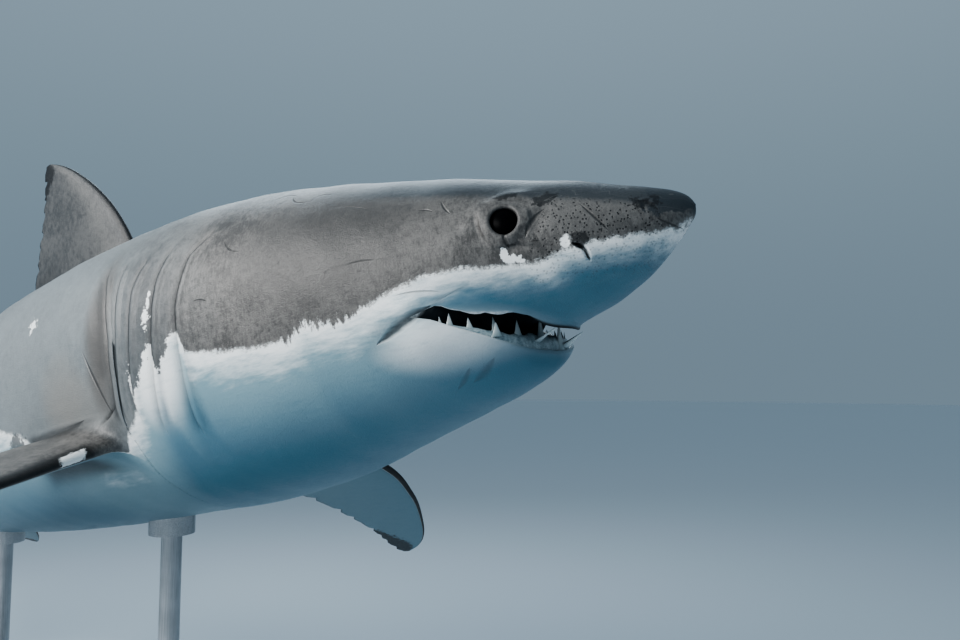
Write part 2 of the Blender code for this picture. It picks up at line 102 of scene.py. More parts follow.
# Edges of the lips from the front to the corner of the mouth (s, z)
UPPER_LIP = ((6.05, -3.50), (6.25, -3.46), (6.45, -3.35), (6.60, -3.20), (6.80, -3.00),
             (7.05, -2.86), (7.55, -2.78), (8.00, -2.72), (8.55, -2.60), (9.00, -2.41),
             (9.40, -2.22), (9.85, -2.28), (10.45, -2.52))
LOWER_LIP = ((7.42, -4.44), (7.50, -4.34), (7.70, -4.13), (7.97, -3.88), (8.60, -3.47),
             (9.20, -3.10), (9.85, -2.70), (10.45, -2.52))
EYE_PLACE = (6.4, 0.6)
EYE_OPENING = (0.485, 0.60)             # half length along the head, half height
NOSTRIL_PLACE = (3.9, -1.28)

# Gill slits, front to back: (s, z) from the top to the bottom
GILL_SLITS = (
    ((19.9, 4.1), (20.9, 3.2), (21.4, 0.8), (21.4, -1.8), (21.8, -4.9)),
    ((22.3, 4.0), (22.75, 2.6), (22.95, 0.2), (23.15, -1.8), (23.8, -4.4)),
    ((24.0, 3.9), (24.45, 2.5), (24.5, 0.1), (24.75, -1.6), (25.1, -3.6)),
    ((25.7, 4.1), (25.7, 2.8), (25.55, 0.6), (25.7, -1.3), (26.1, -3.4)),
    ((27.3, 4.4), (26.6, 2.6), (26.2, 0.4), (26.25, -1.5), (26.6, -3.4)),
)

# Fins: distance out from the root line, leading edge, trailing edge, thickness
FIRST_DORSAL = (
    (6.80, 34.0, 47.4, 1.50),
    (8.20, 34.5, 49.6, 1.35),
    (9.00, 34.7, 48.9, 1.25),
    (10.0, 35.1, 47.5, 1.15),
    (12.5, 36.5, 46.5, 0.95),
    (15.0, 38.6, 45.5, 0.75),
    (17.0, 40.9, 44.95, 0.50),
    (18.1, 42.6, 44.75, 0.32),
    (18.6, 43.7, 44.5, 0.20),
)
SECOND_DORSAL = (
    (1.90, 72.6, 75.2, 0.45),
    (2.80, 73.0, 76.6, 0.40),
    (3.40, 73.7, 76.3, 0.30),
    (4.10, 74.8, 76.0, 0.20),
    (4.35, 75.4, 75.9, 0.12),
)
ANAL = (
    (1.80, 74.9, 77.2, 0.45),
    (2.75, 75.2, 78.6, 0.38),
    (3.30, 75.9, 78.4, 0.30),
    (4.00, 76.9, 78.1, 0.20),
    (4.30, 77.5, 78.0, 0.12),
)
CAUDAL_UPPER = (
    (0.01, 83.5, 89.6, 0.90),
    (1.50, 82.9, 89.9, 0.80),
    (4.00, 85.9, 91.8, 0.65),
    (8.00, 89.9, 94.4, 0.45),
    (12.0, 94.2, 97.0, 0.28),
    (14.2, 97.2, 98.3, 0.16),
    (14.6, 97.9, 98.5, 0.12),
)
CAUDAL_LOWER = (
    (0.01, 84.5, 89.6, 0.90),
    (1.50, 84.0, 89.8, 0.80),
    (4.00, 86.1, 91.4, 0.62),
    (8.00, 89.4, 93.5, 0.42),
    (11.5, 93.0, 95.5, 0.25),
    (13.1, 95.0, 96.3, 0.15),
    (13.4, 95.6, 96.4, 0.12),
)
PECTORAL = (
    (-4.0, 28.0, 33.8, 2.20),
    (0.00, 27.3, 34.8, 1.90),
    (2.00, 27.1, 37.6, 1.70),
    (3.50, 26.9, 38.4, 1.50),
    (6.50, 26.8, 36.9, 1.20),
    (10.0, 27.8, 35.8, 0.95),
    (14.0, 30.0, 35.5, 0.62),
    (17.0, 32.3, 36.0, 0.38),
    (18.4, 34.1, 36.1, 0.25),
    (18.85, 35.1, 35.9, 0.18),
)
PELVIC = (
    (-2.0, 58.3, 62.5, 1.00),
    (0.00, 58.0, 64.1, 0.85),
    (1.00, 58.5, 64.8, 0.70),
    (2.20, 59.4, 64.1, 0.50),
    (3.40, 60.7, 63.7, 0.32),
    (4.10, 61.9, 63.3, 0.20),
    (4.35, 62.5, 63.0, 0.15),
)
# Root lines (y, z) of the paired fins, and the droop and twist on each side, +1 on the left
PECTORAL_ROOT, PELVIC_ROOT = (6.9, -4.4), (2.7, -5.4)
PECTORAL_DROOP = {1: math.radians(32), -1: math.radians(14)}
PECTORAL_TWIST = {1: 0.0, -1: math.radians(7)}
PELVIC_DROOP = {1: math.radians(32), -1: math.radians(32)}
PELVIC_TWIST = {1: 0.0, -1: 0.0}
UNDERSIDE = 0.6                         # a paired fin's lower face is flatter
FIN_EDGE = 0.02

# The edge between the grey back and the white belly, on the side of the body (s, z)
GREY_EDGE = (
    (0.0, -0.3), (1.0, -0.9), (4.4, -1.0), (5.4, -1.4), (8.5, -1.0), (9.7, -1.0),
    (11.2, -1.4), (13.2, -2.0), (14.9, -1.7), (15.5, -2.2), (17.0, -2.1), (19.0, -1.85),
    (21.2, -1.35), (21.35, -0.3), (21.8, -0.15), (22.2, -0.9), (23.0, -1.9), (23.15, -0.5),
    (23.8, -1.0), (24.4, -2.2), (25.5, -3.6), (27.5, -4.7), (30.0, -4.9), (33.0, -4.0),
    (36.0, -2.5), (39.0, -1.6), (55.0, -1.5), (75.0, -0.6), (98.0, 0.0),
)

# The grid of the skin: points round the body, rings, and where their spacing changes
COLUMNS = 200
COLUMN_ANGLE = 2 * math.pi / COLUMNS
RINGS_SNOUT, RINGS_HEAD, RINGS_THROAT = 64, 54, 8
RINGS_BETWEEN_GILLS, RINGS_SHOULDER = 4, 9
RINGS_TRUNK, RINGS_STOCK, RINGS_TAIL = 82, 36, 34
SNOUT_TIP, THROAT, SHOULDER, STOCK, TAIL = 0.13, 17.5, 29.0, 68.0, 83.0
CROWDING = 1.25                         # how much closer the first rings of a run lie
GILL_FRONT, GILL_BACK = 0.34, 0.32      # the nearest plain rings to a gill slit
SAMPLE_STEP = 0.02                      # at which the tables are read


# Body maths -------------------------------------------------------------------
def smooth_value(rows, column, at):
    """Read one column of a table at a distance, by a curve that never overshoots."""
    if at <= rows[0][0]:
        return rows[0][column]
    if at >= rows[-1][0]:
        return rows[-1][column]
    index = max(i for i in range(len(rows) - 1) if rows[i][0] <= at)
    steps = [rows[i + 1][0] - rows[i][0] for i in range(len(rows) - 1)]
    rises = [(rows[i + 1][column] - rows[i][column]) / steps[i] for i in range(len(rows) - 1)]

    def slope(i):
        """Slope at a row: a mean of the two beside it, and 0 where they turn."""
        if i == 0:
            return rises[0]
        if i == len(rows) - 1:
            return rises[-1]
        before, after = rises[i - 1], rises[i]
        if before * after <= 0:
            return 0.0
        near = 2 * steps[i] + steps[i - 1]
        far = steps[i] + 2 * steps[i - 1]
        return (near + far) / (near / before + far / after)

    width = steps[index]
    t = (at - rows[index][0]) / width
    start, end = rows[index][column], rows[index + 1][column]
    return ((1 + 2 * t) * (1 - t) ** 2 * start + t * (1 - t) ** 2 * width * slope(index)
            + t * t * (3 - 2 * t) * end + t * t * (t - 1) * width * slope(index + 1))


class Table:
    """A table of rows sampled finely, so that it can be read at many places at once."""

    def __init__(self, rows):
        self.at = np.arange(rows[0][0], rows[-1][0] + SAMPLE_STEP, SAMPLE_STEP)
        self.columns = [np.array([smooth_value(rows, c, a) for a in self.at])
                        for c in range(1, len(rows[0]))]

    def read(self, at):
        """Each column's values at these places."""
        return [np.interp(at, self.at, column) for column in self.columns]


def jaw_table():
    """The body with the lower jaw's underside in place of the palate's."""
    table = Table(BODY_STATIONS)
    low = np.array([smooth_value(JAW_LINE, 1, at) for at in table.at])
    table.columns[1] = np.where(table.at < JAW_LINE[-1][0], low, table.columns[1])
    return table


BODY, JAW = Table(BODY_STATIONS), jaw_table()


def place(points):
    """Body coordinates to metres in the model's frame."""
    points = np.asarray(points, float)
    s, y, z = points[..., 0], points[..., 1], points[..., 2]
    turn = np.maximum(HEAD_TURN_START - s, 0) / HEAD_TURN_START
    sweep = np.maximum(s - TAIL_SWEEP_START, 0) / (100 - TAIL_SWEEP_START)
    side = y + HEAD_TURN * turn ** 2 + TAIL_SWEEP * sweep ** 2
    x = -s * math.cos(NOSE_UP) - z * math.sin(NOSE_UP)
    height = -s * math.sin(NOSE_UP) + z * math.cos(NOSE_UP)
    return np.stack((SNOUT_X + UNIT * x, UNIT * side, SNOUT_HEIGHT + UNIT * height), -1)


def signed_power(value, power):
    """A power that keeps the sign."""
    return np.sign(value) * np.abs(value) ** power


def unit(vectors):
    """Vectors of length 1."""
    return vectors / np.linalg.norm(vectors, axis=-1, keepdims=True)


def blend_step(low, high, value):
    """0 below low, 1 above high, and a smooth rise between."""
    t = np.clip((value - low) / (high - low), 0, 1)
    return t * t * (3 - 2 * t)


def keel(s, angle):
    """How far the ridge on each side of the tail stock stands out."""
    along = np.clip((s - KEEL_START) / (KEEL_END - KEEL_START), 0, 1)
    off = np.abs((np.abs(angle) - np.pi / 2) / KEEL_SPREAD)
    return KEEL_WIDTH * np.sin(np.pi * along) * np.exp(-off ** KEEL_POWER)


def body_point(s, angle, table=BODY):
    """Point of the bare body; the angle runs from the belly, positive on the right."""
    back, belly, width = table.read(s)
    middle, height = (back + belly) / 2, (back - belly) / 2
    y = -width * signed_power(np.sin(angle), 2 / SECTION_POWER)
    z = middle - height * signed_power(np.cos(angle), 2 / SECTION_POWER)
    y = y - np.sign(angle) * keel(s, angle)
    return np.stack((np.broadcast_to(s, y.shape), y, z), -1)


def body_angle(s, z, table=BODY):
    """Angle from the belly of the body's side at a height."""
    back, belly, _ = table.read(s)
    level = ((back + belly) / 2 - z) / ((back - belly) / 2)
    return np.arccos(np.clip(signed_power(level, SECTION_POWER / 2), -1, 1))


def side_angle(s, z):
    """Angle from the belly of one place on the side of the body."""
    return float(body_angle(np.array(s), z))


NORMAL_STEP, NORMAL_TURN = 0.03, 0.004  # along and round the body, to find its direction


def body_normal(s, angle, table=BODY):
    """Outward direction of the bare body, in body coordinates."""
    along = body_point(s + NORMAL_STEP, angle, table) - body_point(s - NORMAL_STEP, angle, table)
    around = body_point(s, angle + NORMAL_TURN, table) - body_point(s, angle - NORMAL_TURN, table)
    normal = np.cross(along, around)
    normal /= np.maximum(np.linalg.norm(normal, axis=-1, keepdims=True), 1e-9)
    back, belly, _ = table.read(s)
    outward = body_point(s, angle, table)
    outward[..., 0] = 0
    outward[..., 2] -= (back + belly) / 2
    flip = np.sign(np.sum(normal * outward, -1, keepdims=True))
    return normal * np.where(flip == 0, 1, flip)


# How far the line of the mouth runs on up the cheek, and over what angle it does so
CHEEK, CHEEK_ANGLE = 1.3, 0.3
LIP_SAMPLES = 300


class LipLine:
    """A lip as a line round the body: distance from the snout at each angle."""

    def __init__(self, rows, table=BODY):
        along = np.linspace(rows[-1][0], rows[0][0], LIP_SAMPLES)
        points = np.array([(s, smooth_value(rows, 1, s)) for s in along])
        belly = table.read(along)[1]
        reached = np.nonzero(points[:, 1] <= belly)[0]
        last = reached[0] + 1 if len(reached) else len(points)
        points = points[:last]
        angles = np.minimum.accumulate(body_angle(points[:, 0], points[:, 1], table))
        angles[-1] = 0.0
        self.corner = angles[0]
        self.angles, self.at = angles[::-1], points[::-1, 0]

    def read(self, angle):
        """Distance from the snout at each angle, and on up the cheek beyond the corner."""
        beyond = np.maximum(np.abs(angle) - self.corner, 0)
        cheek = CHEEK * (1 - np.exp(-beyond / CHEEK_ANGLE))
        return np.interp(np.abs(angle), self.angles, self.at) + cheek


def slit_line(points):
    """A gill slit as distance from the snout at each angle, and its two end angles."""
    points = np.array(points)
    angles = body_angle(points[:, 0], points[:, 1])
    order = np.argsort(angles)
    return angles[order], points[order, 0]


# Folds and creases of the skin -------------------------------------------------
# Each: path in side view (s, z), half width, height (negative is a crease)
FOLDS = (
    (((10.2, -2.5), (10.9, -2.65), (11.7, -3.0)), 0.22, -0.12),
    (((10.4, -2.1), (11.4, -2.4), (12.6, -3.0)), 0.50, 0.09),
    (((5.75, 1.62), (6.4, 1.72), (7.1, 1.45), (7.6, 0.8)), 0.28, 0.12),
    (((5.0, 0.75), (5.5, 0.0), (6.3, -0.6)), 0.22, -0.09),
    (((5.35, 1.0), (5.6, 0.2), (6.2, -0.3)), 0.26, 0.07),
    (((7.6, 1.0), (8.4, 0.9), (9.4, 0.5)), 0.25, -0.05),
    (((10.4, -2.1), (9.4, -1.9), (8.6, -2.35), (7.55, -2.6), (6.9, -2.9)), 0.30, 0.07),
    (((10.2, -3.5), (9.3, -3.7), (8.5, -4.2)), 0.70, 0.16),
    (((27.8, 3.6), (27.2, 1.6), (27.1, -1.0)), 0.45, -0.09),
)


def distance_to_path(s, z, path):
    """Distance in the side view from points to a path."""
    best = np.full(s.shape, 1e9)
    for (s0, z0), (s1, z1) in zip(path, path[1:]):
        run, rise = s1 - s0, z1 - z0
        t = np.clip(((s - s0) * run + (z - z0) * rise) / (run * run + rise * rise), 0, 1)
        best = np.minimum(best, np.hypot(s - s0 - t * run, z - z0 - t * rise))
    return best


FOLDS_FROM = (0.5, 1.2)                 # distances off the midline between which folds rise
# painted shade in a crease, for each unit of its depth
CREASE_DARKNESS = 2.5                   # of a crease, for each unit of its depth
RIPPLE = 0.012                          # height of the faint waves all over


def relief(points):
    """How far the skin stands out of the bare body, and the painted shade in its creases."""
    s, y, z = points[..., 0], points[..., 1], points[..., 2]
    height = np.zeros(s.shape)
    crease = np.zeros(s.shape)
    near_side = blend_step(*FOLDS_FROM, np.abs(y))
    for path, width, lift in FOLDS:
        swell = np.exp(-(distance_to_path(s, z, path) / width) ** 2) * near_side
        height += lift * swell
        if lift < 0:
            # painted shade, darker the deeper the crease
            crease = np.maximum(crease, swell * min(1.0, -lift * CREASE_DARKNESS))
    ripple = (np.sin(s * 1.7 + z * 0.9) * np.sin(z * 1.3 - s * 0.6)
              + 0.5 * np.sin(s * 3.1 - z * 2.3))
    height += RIPPLE * ripple * blend_step(1.0, 4.0, s)
    return height, crease


# Skin -------------------------------------------------------------------------
class SkinBuilder:
    """Vertices, faces and per-vertex values of the skin, gathered before the mesh is made."""

    # two of these carry painted shade: dark creases, slits and openings, and the mouth's inside
    VALUES = ("margin", "crease", "lining", "share", "reach")

    def __init__(self):
        self.points, self.faces = [], []
        self.numbers, self.distances, self.taken = [], [], set()
        self.values = {name: [] for name in self.VALUES}

    def add(self, points, **values):
        """Add vertices in body coordinates; returns their numbers."""
        points = np.asarray(points, float).reshape(-1, 3)
        first = len(self.points)
        self.points.extend(points)
        for name in self.VALUES:
            value = values.get(name, 0.0)
            self.values[name].extend(np.broadcast_to(value, (len(points),)))
        return np.arange(first, first + len(points))

    def on_body(self, at, angle, height=0.0, crease=0.0, table=BODY):
        """Add vertices on the body's surface, with its folds and the painted shade in its
        creases.
        """
        bare = body_point(at, angle, table)
        lift, shade = relief(bare)
        points = bare + body_normal(at, angle, table) * (lift + height)[..., None]
        return self.add(points, margin=grey_margin(bare), crease=np.maximum(shade, crease))

    def strip(self, row, following, closed=True):
        """Faces between two rows of vertices."""
        count = len(row)
        for i in range(count if closed else count - 1):
            j = (i + 1) % count
            corners = [int(v) for v in (row[i], row[j], following[j], following[i])]
            distinct = list(dict.fromkeys(corners))
            if len(distinct) > 2:
                self.faces.append(distinct)

    def at(self, numbers):
        """Where vertices are, in body coordinates."""
        return np.array([self.points[int(i)] for i in numbers])

    def value(self, name, numbers):
        """What vertices carry under one name."""
        return np.array([self.values[name][int(i)] for i in numbers])

    def mesh(self, name):
        """The finished mesh in the model's frame, with its values as attributes."""
        mesh = bpy.data.meshes.new(name)
        metres = place(np.array(self.points))
        mesh.from_pydata(metres.tolist(), [], self.faces)
        layout = mesh.attributes.new("layout", "FLOAT_VECTOR", "POINT")
        layout.data.foreach_set("vector", np.array(self.points, np.float32).ravel())
        for value in self.VALUES:
            attribute = mesh.attributes.new(value, "FLOAT", "POINT")
            attribute.data.foreach_set("value", np.array(self.values[value], np.float32))
        shape = bmesh.new()
        shape.from_mesh(mesh)
        loose = [v for v in shape.verts if not v.link_faces]
        bmesh.ops.delete(shape, geom=loose, context="VERTS")
        bmesh.ops.recalc_face_normals(shape, faces=shape.faces)
        shape.to_mesh(mesh)
        shape.free()
        mesh.polygons.foreach_set("use_smooth", [True] * len(mesh.polygons))
        return mesh


def grey_margin(points):
    """How far above the edge of the grey a point is, in body units."""
    edge = np.array(GREY_EDGE)
    return points[..., 2] - np.interp(points[..., 0], edge[:, 0], edge[:, 1])


def spaced(first, last, count, bias=1.0):
    """Rows of distances after the first up to the last."""
    return [first + (last - first) * (k / count) ** bias for k in range(1, count + 1)]


# A gill slit's rings: shift along the body and height, closed and open, and painted shade in the
# slit
GILL_STEPS = {
    "flap": (-0.22, 0.0, -0.30, 0.04, 0.0),
    "crest": (-0.14, 0.0, -0.08, 0.06, 0.0),
    "edge": (-0.07, 0.0, 0.02, 0.05, 0.9),
    "under": (0.00, 0.0, 0.03, -0.03, 1.0),
    "bottom": (0.08, 0.0, -0.01, -0.25, 1.0),
    "bank": (0.18, 0.0, 0.11, -0.04, 0.30),
}
GILL_FADE = math.radians(5)             # how gently a slit closes at its ends


def make_rings(angle):
    """Distances from the snout of every ring at each column, and what each ring is."""
    upper, lower = LipLine(UPPER_LIP), LipLine(LOWER_LIP, JAW)
    level = np.zeros(angle.shape)
    rings = [(level + SNOUT_TIP, "plain", 0)]

    def add_plain(first, last, count, bias=1.0):
        """Rings without a slit, from one distance to another."""
        rings.extend((row, "plain", 0) for row in spaced(first, last, count, bias))

    add_plain(level + SNOUT_TIP, upper.read(angle), RINGS_SNOUT, CROWDING)
    rings[-1] = (rings[-1][0], "upper_lip", 0)
    add_plain(lower.read(angle), level + THROAT, RINGS_HEAD, CROWDING)
    before, count = level + THROAT, RINGS_THROAT
    for number, slit in enumerate(GILL_SLITS):
        angles, distances = slit_line(slit)
        line = np.interp(np.abs(angle), angles, distances)
        add_plain(before, line - GILL_FRONT, count)
        rings += [(line, step, number) for step in GILL_STEPS]
        before, count = line + GILL_BACK, RINGS_BETWEEN_GILLS
    add_plain(before, level + SHOULDER, RINGS_SHOULDER)
    add_plain(level + SHOULDER, level + STOCK, RINGS_TRUNK)
    add_plain(level + STOCK, level + TAIL, RINGS_STOCK)
    return rings, min(upper.corner, lower.corner)


def gill_step(kind, slit, angle):
    """Shift along the body, height and painted shade of one ring of a slit at each column."""
    closed_shift, closed_height, open_shift, open_height, dark = GILL_STEPS[kind]
    ends = slit_line(GILL_SLITS[slit])[0]
    size = np.abs(angle)
    opened = (blend_step(ends[0] - GILL_FADE / 2, ends[0] + GILL_FADE, size)
              * (1 - blend_step(ends[-1] - GILL_FADE, ends[-1] + GILL_FADE / 2, size)))
    return (closed_shift + (open_shift - closed_shift) * opened,
            closed_height + (open_height - closed_height) * opened, dark * opened)


def make_body(skin, angle):
    """The grid of rings from the tip of the snout to the start of the tail."""
    rings, skin.corner = make_rings(angle)
    table = BODY
    for distance, kind, slit in rings:
        shift, height, crease = 0.0, 0.0, 0.0
        if kind in GILL_STEPS:
            shift, height, crease = gill_step(kind, slit, angle)
        at = distance + shift
        skin.distances.append(at)
        skin.numbers.append(skin.on_body(at, angle, height, crease, table))
        if kind == "upper_lip":
            table = JAW
            skin.split = len(skin.numbers) - 1
            lower = skin.on_body(LipLine(LOWER_LIP, JAW).read(angle), angle, table=JAW)
            open_here = np.abs(angle) < skin.corner
            skin.lower_lip = np.where(open_here, lower, skin.numbers[-1])
            skin.mouth_columns = np.nonzero(open_here)[0]


def fill_grid(skin):
    """Faces of the grid, apart from the cells that a fin or an opening takes."""
    tip = skin.add([[0.1, 0, 0.1]], margin=0.5)
    skin.strip(np.repeat(tip, COLUMNS), skin.numbers[0])
    for i in range(len(skin.numbers) - 1):
        row = skin.lower_lip if i == skin.split else skin.numbers[i]
        following = skin.numbers[i + 1]
        for j in range(COLUMNS):
            if (i, j) not in skin.taken:
                k = (j + 1) % COLUMNS
                corners = [int(v) for v in (row[j], row[k], following[k], following[j])]
                skin.faces.append(list(dict.fromkeys(corners)))


def take_cells(skin, rings, columns):
    """Leave cells out of the grid; returns (ring, column) round them from the front's middle."""
    first, last = rings
    low, high = columns
    for i in range(first, last):
        for j in range(low, high):
            skin.taken.add((i, j % COLUMNS))
    middle = (low + high) // 2
    path = [(first, j) for j in range(middle, high)]
    path += [(i, high) for i in range(first, last)]
    path += [(last, j) for j in range(high, low, -1)]
    path += [(i, low) for i in range(last, first, -1)]
    path += [(first, j) for j in range(low, middle)]
    return path


def nearest_ring(skin, s, column):
    """Number of the ring that is nearest to a distance from the snout, in one column."""
    distances = np.array([row[column % COLUMNS] for row in skin.distances])
    return int(np.argmin(np.abs(distances - s)))


OPENING_TURN = 0.02                     # to measure the length of a turn round the body
POLE_DEPTH = 1.15                       # of an opening's last point, over its last row's


def make_opening(skin, angle, place_at, side, reach, outline, rows):
    """An opening in one side of the head, as rows of points from the grid to its bottom."""
    s0, a0 = place_at[0], side * side_angle(*place_at)
    turned = body_point(s0, a0 + OPENING_TURN) - body_point(s0, a0 - OPENING_TURN)
    across = np.linalg.norm(turned) / (2 * OPENING_TURN)
    column = int(np.argmin(np.abs(angle - a0)))
    ring = nearest_ring(skin, s0, column)
    wide = max(2, round(reach / (across * COLUMN_ANGLE)))
    first = nearest_ring(skin, s0 - reach, column)
    last = max(nearest_ring(skin, s0 + reach, column), ring + 2)
    path = take_cells(skin, (first, last), (column - wide, column + wide))
    numbers = np.array([skin.numbers[i][j % COLUMNS] for i, j in path])
    start = np.array([(skin.distances[i][j % COLUMNS] - s0,
                       side * (angle[j % COLUMNS] - a0) * across) for i, j in path])
    around = np.arctan2(start[:, 1], start[:, 0])
    previous = numbers
    for offset, height, crease, blend in rows:
        local = start * (1 - blend) + outline(around, offset) * blend
        row = skin.on_body(s0 + local[:, 0], a0 + side * local[:, 1] / across, height, crease)
        skin.strip(previous, row)
        previous = row
    bottom = skin.on_body(np.array([s0]), np.array([a0]), rows[-1][1] * POLE_DEPTH, 1.0)
    skin.strip(previous, np.repeat(bottom, len(previous)))


# Part of the grid that an opening takes, each way along the body
EYE_REACH, NOSTRIL_REACH = 0.95, 1.0
# Rows of an opening: offset from its outline, height, painted shade inside it, share of the way
# to it
EYE_ROWS = (
    (0.44, 0.02, 0.0, 0.4), (0.32, 0.04, 0.0, 0.85), (0.22, 0.09, 0.1, 1.0),
    (0.14, 0.12, 0.1, 1.0), (0.07, 0.12, 0.15, 1.0), (0.02, 0.08, 0.35, 1.0),
    (-0.01, 0.0, 1.0, 1.0), (0.03, -0.3, 1.0, 1.0), (-0.2, -0.7, 1.0, 1.0),
)
NOSTRIL_ROWS = (
    (0.26, 0.0, 0.0, 0.5), (0.17, 0.04, 0.0, 0.9), (0.10, 0.09, 0.0, 1.0),
    (0.05, 0.09, 0.0, 1.0), (0.01, 0.03, 0.4, 1.0), (-0.02, -0.10, 1.0, 1.0),
    (-0.03, -0.30, 1.0, 1.0),
)


def eye_outline(around, offset):
    """An upright oval opening."""
    size = np.array(EYE_OPENING) + offset
    return np.stack((np.cos(around), np.sin(around)), -1) * size


NOSTRIL_SIZE = (0.06, 0.42)             # half width at its lower end, half height
NOSTRIL_FLARE, NOSTRIL_HOOK = 0.14, 0.32    # how much wider and further back it ends


def nostril_outline(around, offset):
    """A slit that hooks back at its upper end, where it is widest."""
    along = np.sin(around)
    upper = np.clip((along + 0.2) / 1.2, 0, 1)
    wide = NOSTRIL_SIZE[0] + NOSTRIL_FLARE * upper ** 2 + offset
    middle = NOSTRIL_HOOK * upper ** 2 - 0.04
    high = NOSTRIL_SIZE[1] + 0.6 * offset
    return np.stack((middle + np.cos(around) * wide, along * high), -1)


def wing_half_thickness(share):
    """Shape of a fin's section from its leading edge, with a peak of 0.5."""
    return 5 * (0.2969 * np.sqrt(share) - 0.1260 * share - 0.3516 * share ** 2
                + 0.2843 * share ** 3 - 0.1015 * share ** 4)


def upright(direction):
    """Layout of a fin on the midline, +1 above the body and -1 below."""
    return lambda out, s, offset: np.stack((s, offset, direction * out), -1)


def paired(root, droop, side):
    """Layout of a fin that stands out from one side and droops."""
    def to_body(out, s, offset):
        """Body coordinates from distance out, distance from the snout and height off it."""
        y = root[0] + out * math.cos(droop) + offset * math.sin(droop)
        z = root[1] - out * math.sin(droop) + offset * math.cos(droop)
        return np.stack((s, side * y, z), -1)

    return to_body


def inside_body(points):
    """Below 1 inside the bare body, 1 on its surface."""
    back, belly, width = BODY.read(points[..., 0])
    level = (points[..., 2] - (back + belly) / 2) / np.maximum((back - belly) / 2, 1e-3)
    across = points[..., 1] / np.maximum(width, 1e-3)
    return np.abs(across) ** SECTION_POWER + np.abs(level) ** SECTION_POWER


# Wear of a fin's trailing edge: waves a body unit, turns of its seed, and size
WEAR = ((5.1, 1, 1.0), (8.3, 2, 0.7), (13.7, 1, 0.5))
WEAR_FADE = 10                          # how closely the wear keeps to the trailing edge
ROOT_SAMPLES, ROOT_SHARE = 400, 0.6     # where along a fin its root is looked for


class Fin:
    """A fin as points at a distance out, a share of the chord, and a face, +1 or -1."""

    def __init__(self, rows, to_body, twist=0.0, lower=1.0, ragged=0.12, seed=0.0):
        self.table = Table(rows)
        self.first, self.last = rows[0][0], rows[-1][0]
        self.to_body, self.twist, self.lower = to_body, twist, lower
        self.ragged, self.seed = ragged, seed

    def at(self, out, share, face):
        """Points of the fin, in body coordinates."""
        lead, trail, thick = self.table.read(out)
        wear = sum(size * np.sin(out * waves + turns * self.seed) for waves, turns, size in WEAR)
        trail = trail - self.ragged * np.maximum(wear, 0) * share ** WEAR_FADE
        s = lead + (trail - lead) * share
        half = thick * wing_half_thickness(share) + FIN_EDGE * share
        rise = (s - lead) * math.tan(self.twist)
        offset = rise + face * half * np.where(face > 0, 1.0, self.lower)
        return self.to_body(out, s, offset)

    def root(self, share, face):
        """Distance out where the fin leaves the body."""
        reach = (self.last - self.first) * ROOT_SHARE
        outs = np.linspace(self.first, self.first + reach, ROOT_SAMPLES)
        grid = np.array([inside_body(self.at(np.full(share.shape, out), share, face))
                         for out in outs])
        within = grid < 1
        last = np.where(within.any(0), len(outs) - 1 - np.argmax(within[::-1], 0), 0)
        return outs[last]


FILLET_ROWS = 6
EDGE_CROWDING = 1.35                    # how much closer points lie at a leading edge
TIP_CROWDING = 0.35                     # how much closer rows lie towards a fin's tip
FILLET_REACH = 0.02                     # what a fillet counts as, of the way to the tip


def fin_foot(fin, share, up, start):
    """Where a fin leaves the body: face, distance out and point for each place round it.

    Of the two ways to lay its faces out, the one nearer to the grid's edge is taken.
    """
    ways = []
    for sign in (1, -1):
        face = np.where(up, sign, -sign).astype(float)
        out = fin.root(share, face)
        crossing = fin.at(out, share, face)
        ways.append((np.linalg.norm(crossing - start, axis=-1).sum(), face, out, crossing))
    return min(ways, key=lambda way: way[0])[1:]


def attach_fin(skin, angle, fin, root, rows, fillet, margin):
    """Open the grid under a fin and carry the skin over it, with a fillet at its root.

    The root is the fin's two ends along the body, its angle and half the angle it takes.
    """
    front, back, turn, half_turn = root
    middle = int(np.argmin(np.abs(angle - turn)))
    half = max(2, round(half_turn / COLUMN_ANGLE))
    first, last = nearest_ring(skin, front, middle), nearest_ring(skin, back, middle)
    path = take_cells(skin, (first, last), (middle - half, middle + half))
    base = np.array([skin.numbers[i][j % COLUMNS] for i, j in path])
    count = len(base)
    along = np.arange(count) / (count / 2)
    up = along <= 1
    share = np.where(up, along, 2 - along) ** EDGE_CROWDING
    start, start_margin = skin.at(base), skin.value("margin", base)
    face, foot, crossing = fin_foot(fin, share, up, start)
    end = foot + fillet
    shoulder = fin.at(end, share, face)
    previous = base
    for k in range(1, FILLET_ROWS + 1):
        t = k / FILLET_ROWS
        points = ((1 - t) ** 2 * start + 2 * t * (1 - t) * crossing + t * t * shoulder)
        mix = blend_step(0.0, 1.0, np.full(count, t))
        value = start_margin * (1 - mix) + margin(face, share, 0 * share) * mix
        row = skin.add(points, margin=value, share=share, reach=FILLET_REACH * t)
        skin.strip(previous, row)
        previous = row
    for k in range(1, rows + 1):
        crowded = math.sin(math.pi / 2 * k / rows)
        t = crowded * TIP_CROWDING + (1 - TIP_CROWDING) * k / rows
        out = end + (fin.last - end) * t
        row = skin.add(fin.at(out, share, face), margin=margin(face, share, t + 0 * share),
                       share=share, reach=t)
        skin.strip(previous, row)
        previous = row
    skin.faces.append([int(v) for v in previous])


LEADING_EDGE = 0.03                     # share of the chord that counts as the front edge


def dark_all_over(face, share, reach):
    """A fin's height above the edge of the grey, where all of it is grey."""
    return 3.0 + 0 * share


def pale_in_front(face, share, reach):
    """The same where the grey only reaches the trailing edge and the tip."""
    return 0.1 - 1.6 * (1 - share) + 0.9 * reach


def dark_on_top(face, share, reach):
    """The same for a paired fin: grey above and round its leading edge, white below."""
    return np.where((face > 0) | (share < LEADING_EDGE), 3.0, -3.0)


